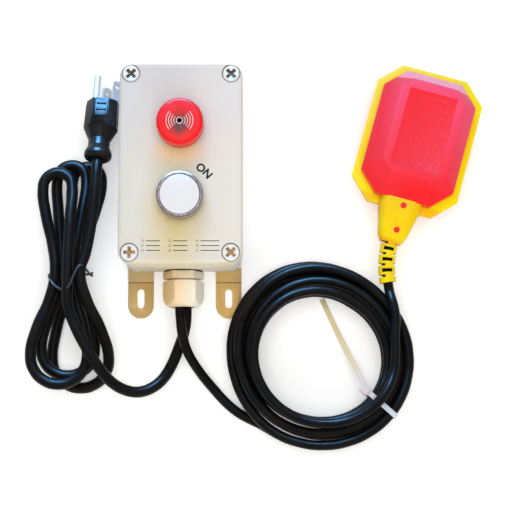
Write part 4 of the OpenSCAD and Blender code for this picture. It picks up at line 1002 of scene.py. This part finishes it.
def build_sounder():
    mould("beacon_cap", "sounder_cap", "alarm_red", HOUSING, "red_lens", 0.3, 3, 40)
    centre = Vector(CAP_TOP) * MM
    line, thickness = SOUND_LINE * MM, sizes().print_height
    marks = [ring_mark(SOUND_RING * MM, line, thickness, centre)]
    for radius in SOUND_ARCS:
        for side in (0, 180):
            marks.append(ring_mark(radius * MM, line, thickness, centre, side + SOUND_FROM, SOUND_SWEEP))
    dress(joined(marks), "sound_mark", "white_ink", HOUSING, smooth=0, slot="white_plastic")
    paint_nodes("black", "beacon_body", "beacon_sounder", "beacon_nut")
    paint_nodes("board", "beacon_board")
    paint_nodes("seal", "beacon_gasket")


def build_button():
    mould("button_bezel", "bright_bezel", "chrome", HOUSING, "chrome", 0.12, 2, 40)
    mould("button_lens", "lamp_lens", "lens", BUTTON, "white_lens", 0.1, 2, 40)
    paint_nodes("ivory", "button_plunger")
    # the spring: a merged copy of the CAD node, with a mesh of its own
    spring = dress(softened("button_spring", 0), "button_return_spring", "steel", HOUSING, "button_spring")
    low, high = bounds("button_spring")
    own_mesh(spring)
    paint_nodes("black", "button_body", "button_nut", "contact_block")
    paint_nodes("seal", "button_gasket")


def build_gland():
    for node, rounding in (("gland_body", 0.35), ("gland_nut", 0.45)):
        mould(node, node + "_moulding", "gland", HOUSING, "white_plastic", rounding, 3, 25)
    paint_nodes("gland", "gland_locknut")
    paint_nodes("seal", "gland_washer", "gland_seal")


def build_float():
    mould("float_frame", "float_frame_moulding", "float_yellow", FLOAT, "yellow", 0.7, 4, 20)
    for node in ("float_cover_upper", "float_cover_lower"):
        mould(node, node + "_moulding", "float_red", FLOAT, "red", 1.3, 4, 14)
    mould("float_pins", "float_pin_heads", "float_red", FLOAT, "red", 0.3)
    mould("cable_boot", "boot_moulding", "float_yellow", FLOAT, "yellow", 0.3, 3, 40)
    paint_nodes("cord", "boot_cable")
    paint_nodes("ivory", "ball_track")
    paint_nodes("black", "microswitch")
    paint_nodes("steel", "switch_ball", "switch_lever")


def build_inside():
    paint_nodes("ivory", "terminal_block")
    paint_nodes("steel", "terminal_screws")
    paint_nodes("cord", "cord_jackets")


LID_TOP = 70.0
BUTTON_Y = -22.6
LETTER_BODY = 1.7  # body of the type per height of its capitals
LETTER_WEIGHT = 0.26 * MM
LETTER_ARC = 20.6
LETTERS = (("O", 35), ("N", 49.5))
TICK_ROWS, TICK_TOP, TICK_STEP = 3, -51.2, 3.1
TICK_COLUMNS = ((-24, 9), (-6.5, 9), (11, 12))  # place and length of line
TICK_GAP = 2.2


def printed_letter(letter, radius, degrees, centre, height):
    """One printed letter that stands on an arc round a centre; degrees run from the arc's top."""
    deselect_all()
    bpy.ops.object.text_add()
    text = bpy.context.object
    text.data.body = letter
    text.data.size = height * LETTER_BODY
    text.data.align_x = "CENTER"
    text.data.offset = LETTER_WEIGHT
    text.data.extrude = sizes().print_height / 2
    bpy.ops.object.convert(target="MESH")
    mark = bpy.context.object
    turn = math.radians(-degrees)
    place = Vector((-math.sin(turn) * radius, math.cos(turn) * radius, 0)) + centre
    mark.matrix_world = Matrix.Translation(place) @ Matrix.Rotation(turn, 4, "Z")
    settle(mark)
    return mark


def build_marks():
    """The word beside the button, and plain rows of tick boxes."""
    lid = Vector((0, 0, LID_TOP)) * MM
    button = lid + Vector((0, BUTTON_Y, 0)) * MM
    word = [printed_letter(letter, LETTER_ARC * MM, degrees, button, sizes().mark_height)
            for letter, degrees in LETTERS]
    dress(joined(word), "on_mark", "ink", HOUSING, smooth=0, slot="tie_black")
    rules = []
    thickness = sizes().print_height
    for row in range(TICK_ROWS):
        for x, length in TICK_COLUMNS:
            y = TICK_TOP - row * TICK_STEP
            rules.append(ring_mark(0.7 * MM, 0.22 * MM, thickness, lid + Vector((x, y, 0)) * MM))
            rules.append(rounded_bar(
                (length * MM, 0.5 * MM, thickness), 0.01 * MM,
                Matrix.Translation(lid + Vector((x + TICK_GAP + length / 2, y, 0)) * MM),
            ))
    dress(joined(rules), "tick_rows", "ink", HOUSING, smooth=0, slot="tie_black")


LENS = 103.57
CAMERA_AT = (0.0487, -0.1758, 1.005)
CAMERA_TILT = 7
LAMPS_AIM = (0.04, -0.05, 0.03)
FLOOR_Z = -0.0002
FLOOR_LIFT = 0.3
ROOM_LIGHT = 0.34
# name, place, size, power, tint, and whether it is only mirrored: the soft lamps light the surfaces,
# the two windows and the ceiling lamp only show as reflections
LAMPS = (
    ("overhead", (0.05, -0.05, 1.7), 1.7, 16.5, (1.0, 0.99, 0.97), False),
    ("sky_side", (-0.25, 1.05, 0.6), 0.9, 3.4, (0.86, 0.92, 1.0), False),
    ("near_side", (0.2, -1.1, 0.45), 0.9, 5.4, (1.0, 0.97, 0.91), False),
    ("window", (-0.10, 0.93, 0.80), 0.8, 72.0, (0.15, 0.50, 1.0), True),
    ("side_window", (-0.75, 0.75, 0.30), 0.5, 2.0, (0.16, 0.5, 1.0), True),
    ("ceiling_lamp", (0.0, 0.12, 1.2), 0.16, 0.5, (1.0, 0.72, 0.46), True),
)


def place_camera(scene):
    data = bpy.data.cameras.new("camera")
    data.lens = LENS
    data.sensor_width = 36
    data.clip_end = 20
    camera = bpy.data.objects.new("camera", data)
    camera.location = CAMERA_AT
    camera.rotation_euler = (math.radians(CAMERA_TILT), 0, 0)
    scene.collection.objects.link(camera)
    scene.camera = camera


def show_camera(tree, shaded, seen, output):
    """The camera sees one shader, and all other rays meet another."""
    rays = tree.nodes.new("ShaderNodeLightPath")
    choice = tree.nodes.new("ShaderNodeMixShader")
    for source, target in (
        (rays.outputs["Is Camera Ray"], choice.inputs["Fac"]),
        (shaded, choice.inputs[1]), (seen, choice.inputs[2]),
        (choice.outputs["Shader"], tree.nodes[output].inputs["Surface"]),
    ):
        tree.links.new(source, target)


def lay_floor():
    deselect_all()
    bpy.ops.mesh.primitive_plane_add(size=8, location=(0, 0, FLOOR_Z))
    floor = bpy.context.object
    floor.name = "floor"
    settle(floor)
    finish = Finish("pale_floor", (0.94, 0.94, 0.94), 0.9, Specular_IOR_Level=0.0)
    shaded = finish.shader.outputs["BSDF"]
    lift = finish.add("Emission", {"Color": (1, 1, 1, 1), "Strength": FLOOR_LIFT})
    both = finish.add("AddShader", {0: shaded, 1: lift.outputs["Emission"]})
    show_camera(finish.tree, shaded, both.outputs["Shader"], "Material Output")
    floor.data.materials.append(finish.material)


def light_room(scene):
    world = bpy.data.worlds.new("plain_room")
    scene.world = world
    world.use_nodes = True
    light = world.node_tree.nodes["Background"]
    light.inputs["Color"].default_value = (1, 1, 1, 1)
    light.inputs["Strength"].default_value = ROOM_LIGHT
    # the camera sees a plain white room past the floor's edge
    room = world.node_tree.nodes.new("ShaderNodeBackground")
    room.inputs["Color"].default_value = (1, 1, 1, 1)
    outputs = [node.outputs["Background"] for node in (light, room)]
    show_camera(world.node_tree, *outputs, "World Output")

    for name, place, size, power, tint, mirrored in LAMPS:
        data = bpy.data.lights.new(name, "AREA")
        data.shape = "DISK"
        data.size = size
        data.energy = power
        data.color = tint
        lamp = bpy.data.objects.new(name, data)
        lamp.location = place
        aim = Vector(LAMPS_AIM) - Vector(place)
        lamp.rotation_euler = aim.to_track_quat("-Z", "Y").to_euler()
        lamp.visible_diffuse = not mirrored
        lamp.visible_glossy = mirrored
        scene.collection.objects.link(lamp)


def build_stage():
    scene = bpy.context.scene
    scene.view_settings.view_transform = "Standard"
    place_camera(scene)
    lay_floor()
    light_room(scene)


# ---------------------------------------------------------------- operators


class LEVELALARM_OT_stage(bpy.types.Operator):
    """Set up the camera, the floor and the light"""

    bl_idname = "level_alarm.stage"
    bl_label = "Stage"

    def execute(self, context):
        build_stage()
        return {"FINISHED"}


class LEVELALARM_OT_finishes(bpy.types.Operator):
    """Make the plastics, metals, rubber and inks"""

    bl_idname = "level_alarm.finishes"
    bl_label = "Finishes"

    def execute(self, context):
        make_finishes()
        return {"FINISHED"}


class LEVELALARM_OT_cords(bpy.types.Operator):
    """Lay the power cord with its plug, and the float cable with its coil and ties"""

    bl_idname = "level_alarm.cords"
    bl_label = "Cords, plug and ties"

    def execute(self, context):
        build_cords()
        return {"FINISHED"}


class LEVELALARM_OT_box(bpy.types.Operator):
    """Mould the tub, the lid and the lid's screws"""

    bl_idname = "level_alarm.box"
    bl_label = "Box"

    def execute(self, context):
        build_box()
        build_inside()
        return {"FINISHED"}


class LEVELALARM_OT_lugs(bpy.types.Operator):
    """Finish the slotted mounting lugs"""

    bl_idname = "level_alarm.lugs"
    bl_label = "Mounting lugs"

    def execute(self, context):
        build_lugs()
        return {"FINISHED"}


class LEVELALARM_OT_sounder(bpy.types.Operator):
    """Mould the sounder's cap and print its sound mark"""

    bl_idname = "level_alarm.sounder"
    bl_label = "Flashing sounder"

    def execute(self, context):
        build_sounder()
        return {"FINISHED"}


class LEVELALARM_OT_button(bpy.types.Operator):
    """Finish the bright bezel and the lamp lens"""

    bl_idname = "level_alarm.button"
    bl_label = "Lit push button"

    def execute(self, context):
        build_button()
        return {"FINISHED"}


class LEVELALARM_OT_gland(bpy.types.Operator):
    """Mould the cable gland"""

    bl_idname = "level_alarm.gland"
    bl_label = "Cable gland"

    def execute(self, context):
        build_gland()
        return {"FINISHED"}


class LEVELALARM_OT_float(bpy.types.Operator):
    """Mould the float's frame, covers, pins and boot"""

    bl_idname = "level_alarm.float"
    bl_label = "Float switch"

    def execute(self, context):
        build_float()
        return {"FINISHED"}


class LEVELALARM_OT_marks(bpy.types.Operator):
    """Print the generic marks on the lid"""

    bl_idname = "level_alarm.marks"
    bl_label = "Printed marks"

    def execute(self, context):
        build_marks()
        return {"FINISHED"}


OPERATORS = (
    LEVELALARM_OT_stage,
    LEVELALARM_OT_finishes,
    LEVELALARM_OT_cords,
    LEVELALARM_OT_box,
    LEVELALARM_OT_lugs,
    LEVELALARM_OT_sounder,
    LEVELALARM_OT_button,
    LEVELALARM_OT_gland,
    LEVELALARM_OT_float,
    LEVELALARM_OT_marks,
)


class LEVELALARM_PT_panel(bpy.types.Panel):
    """Sizes, colours and steps of the level alarm"""

    bl_idname = "LEVELALARM_PT_panel"
    bl_label = "Level Alarm"
    bl_space_type = "VIEW_3D"
    bl_region_type = "UI"
    bl_category = "Level Alarm"

    def draw(self, context):
        for settings in (context.scene.level_alarm_sizes, context.scene.level_alarm_colours):
            column = self.layout.column()
            for key in settings.__annotations__:
                column.prop(settings, key)
        for operator in OPERATORS:
            self.layout.operator(operator.bl_idname)


CLASSES = (LevelAlarmSizes, LevelAlarmColours) + OPERATORS + (LEVELALARM_PT_panel,)


def register():
    for item in CLASSES:
        bpy.utils.register_class(item)
    bpy.types.Scene.level_alarm_sizes = PointerProperty(type=LevelAlarmSizes)
    bpy.types.Scene.level_alarm_colours = PointerProperty(type=LevelAlarmColours)


def unregister():
    del bpy.types.Scene.level_alarm_colours
    del bpy.types.Scene.level_alarm_sizes
    for item in reversed(CLASSES):
        bpy.utils.unregister_class(item)


def main():
    register()
    bpy.ops.level_alarm.stage()
    bpy.ops.level_alarm.finishes()
    bpy.ops.level_alarm.cords()
    bpy.ops.level_alarm.box()
    bpy.ops.level_alarm.lugs()
    bpy.ops.level_alarm.sounder()
    bpy.ops.level_alarm.button()
    bpy.ops.level_alarm.gland()
    bpy.ops.level_alarm.float()
    bpy.ops.level_alarm.marks()


if __name__ == "__main__":
    main()
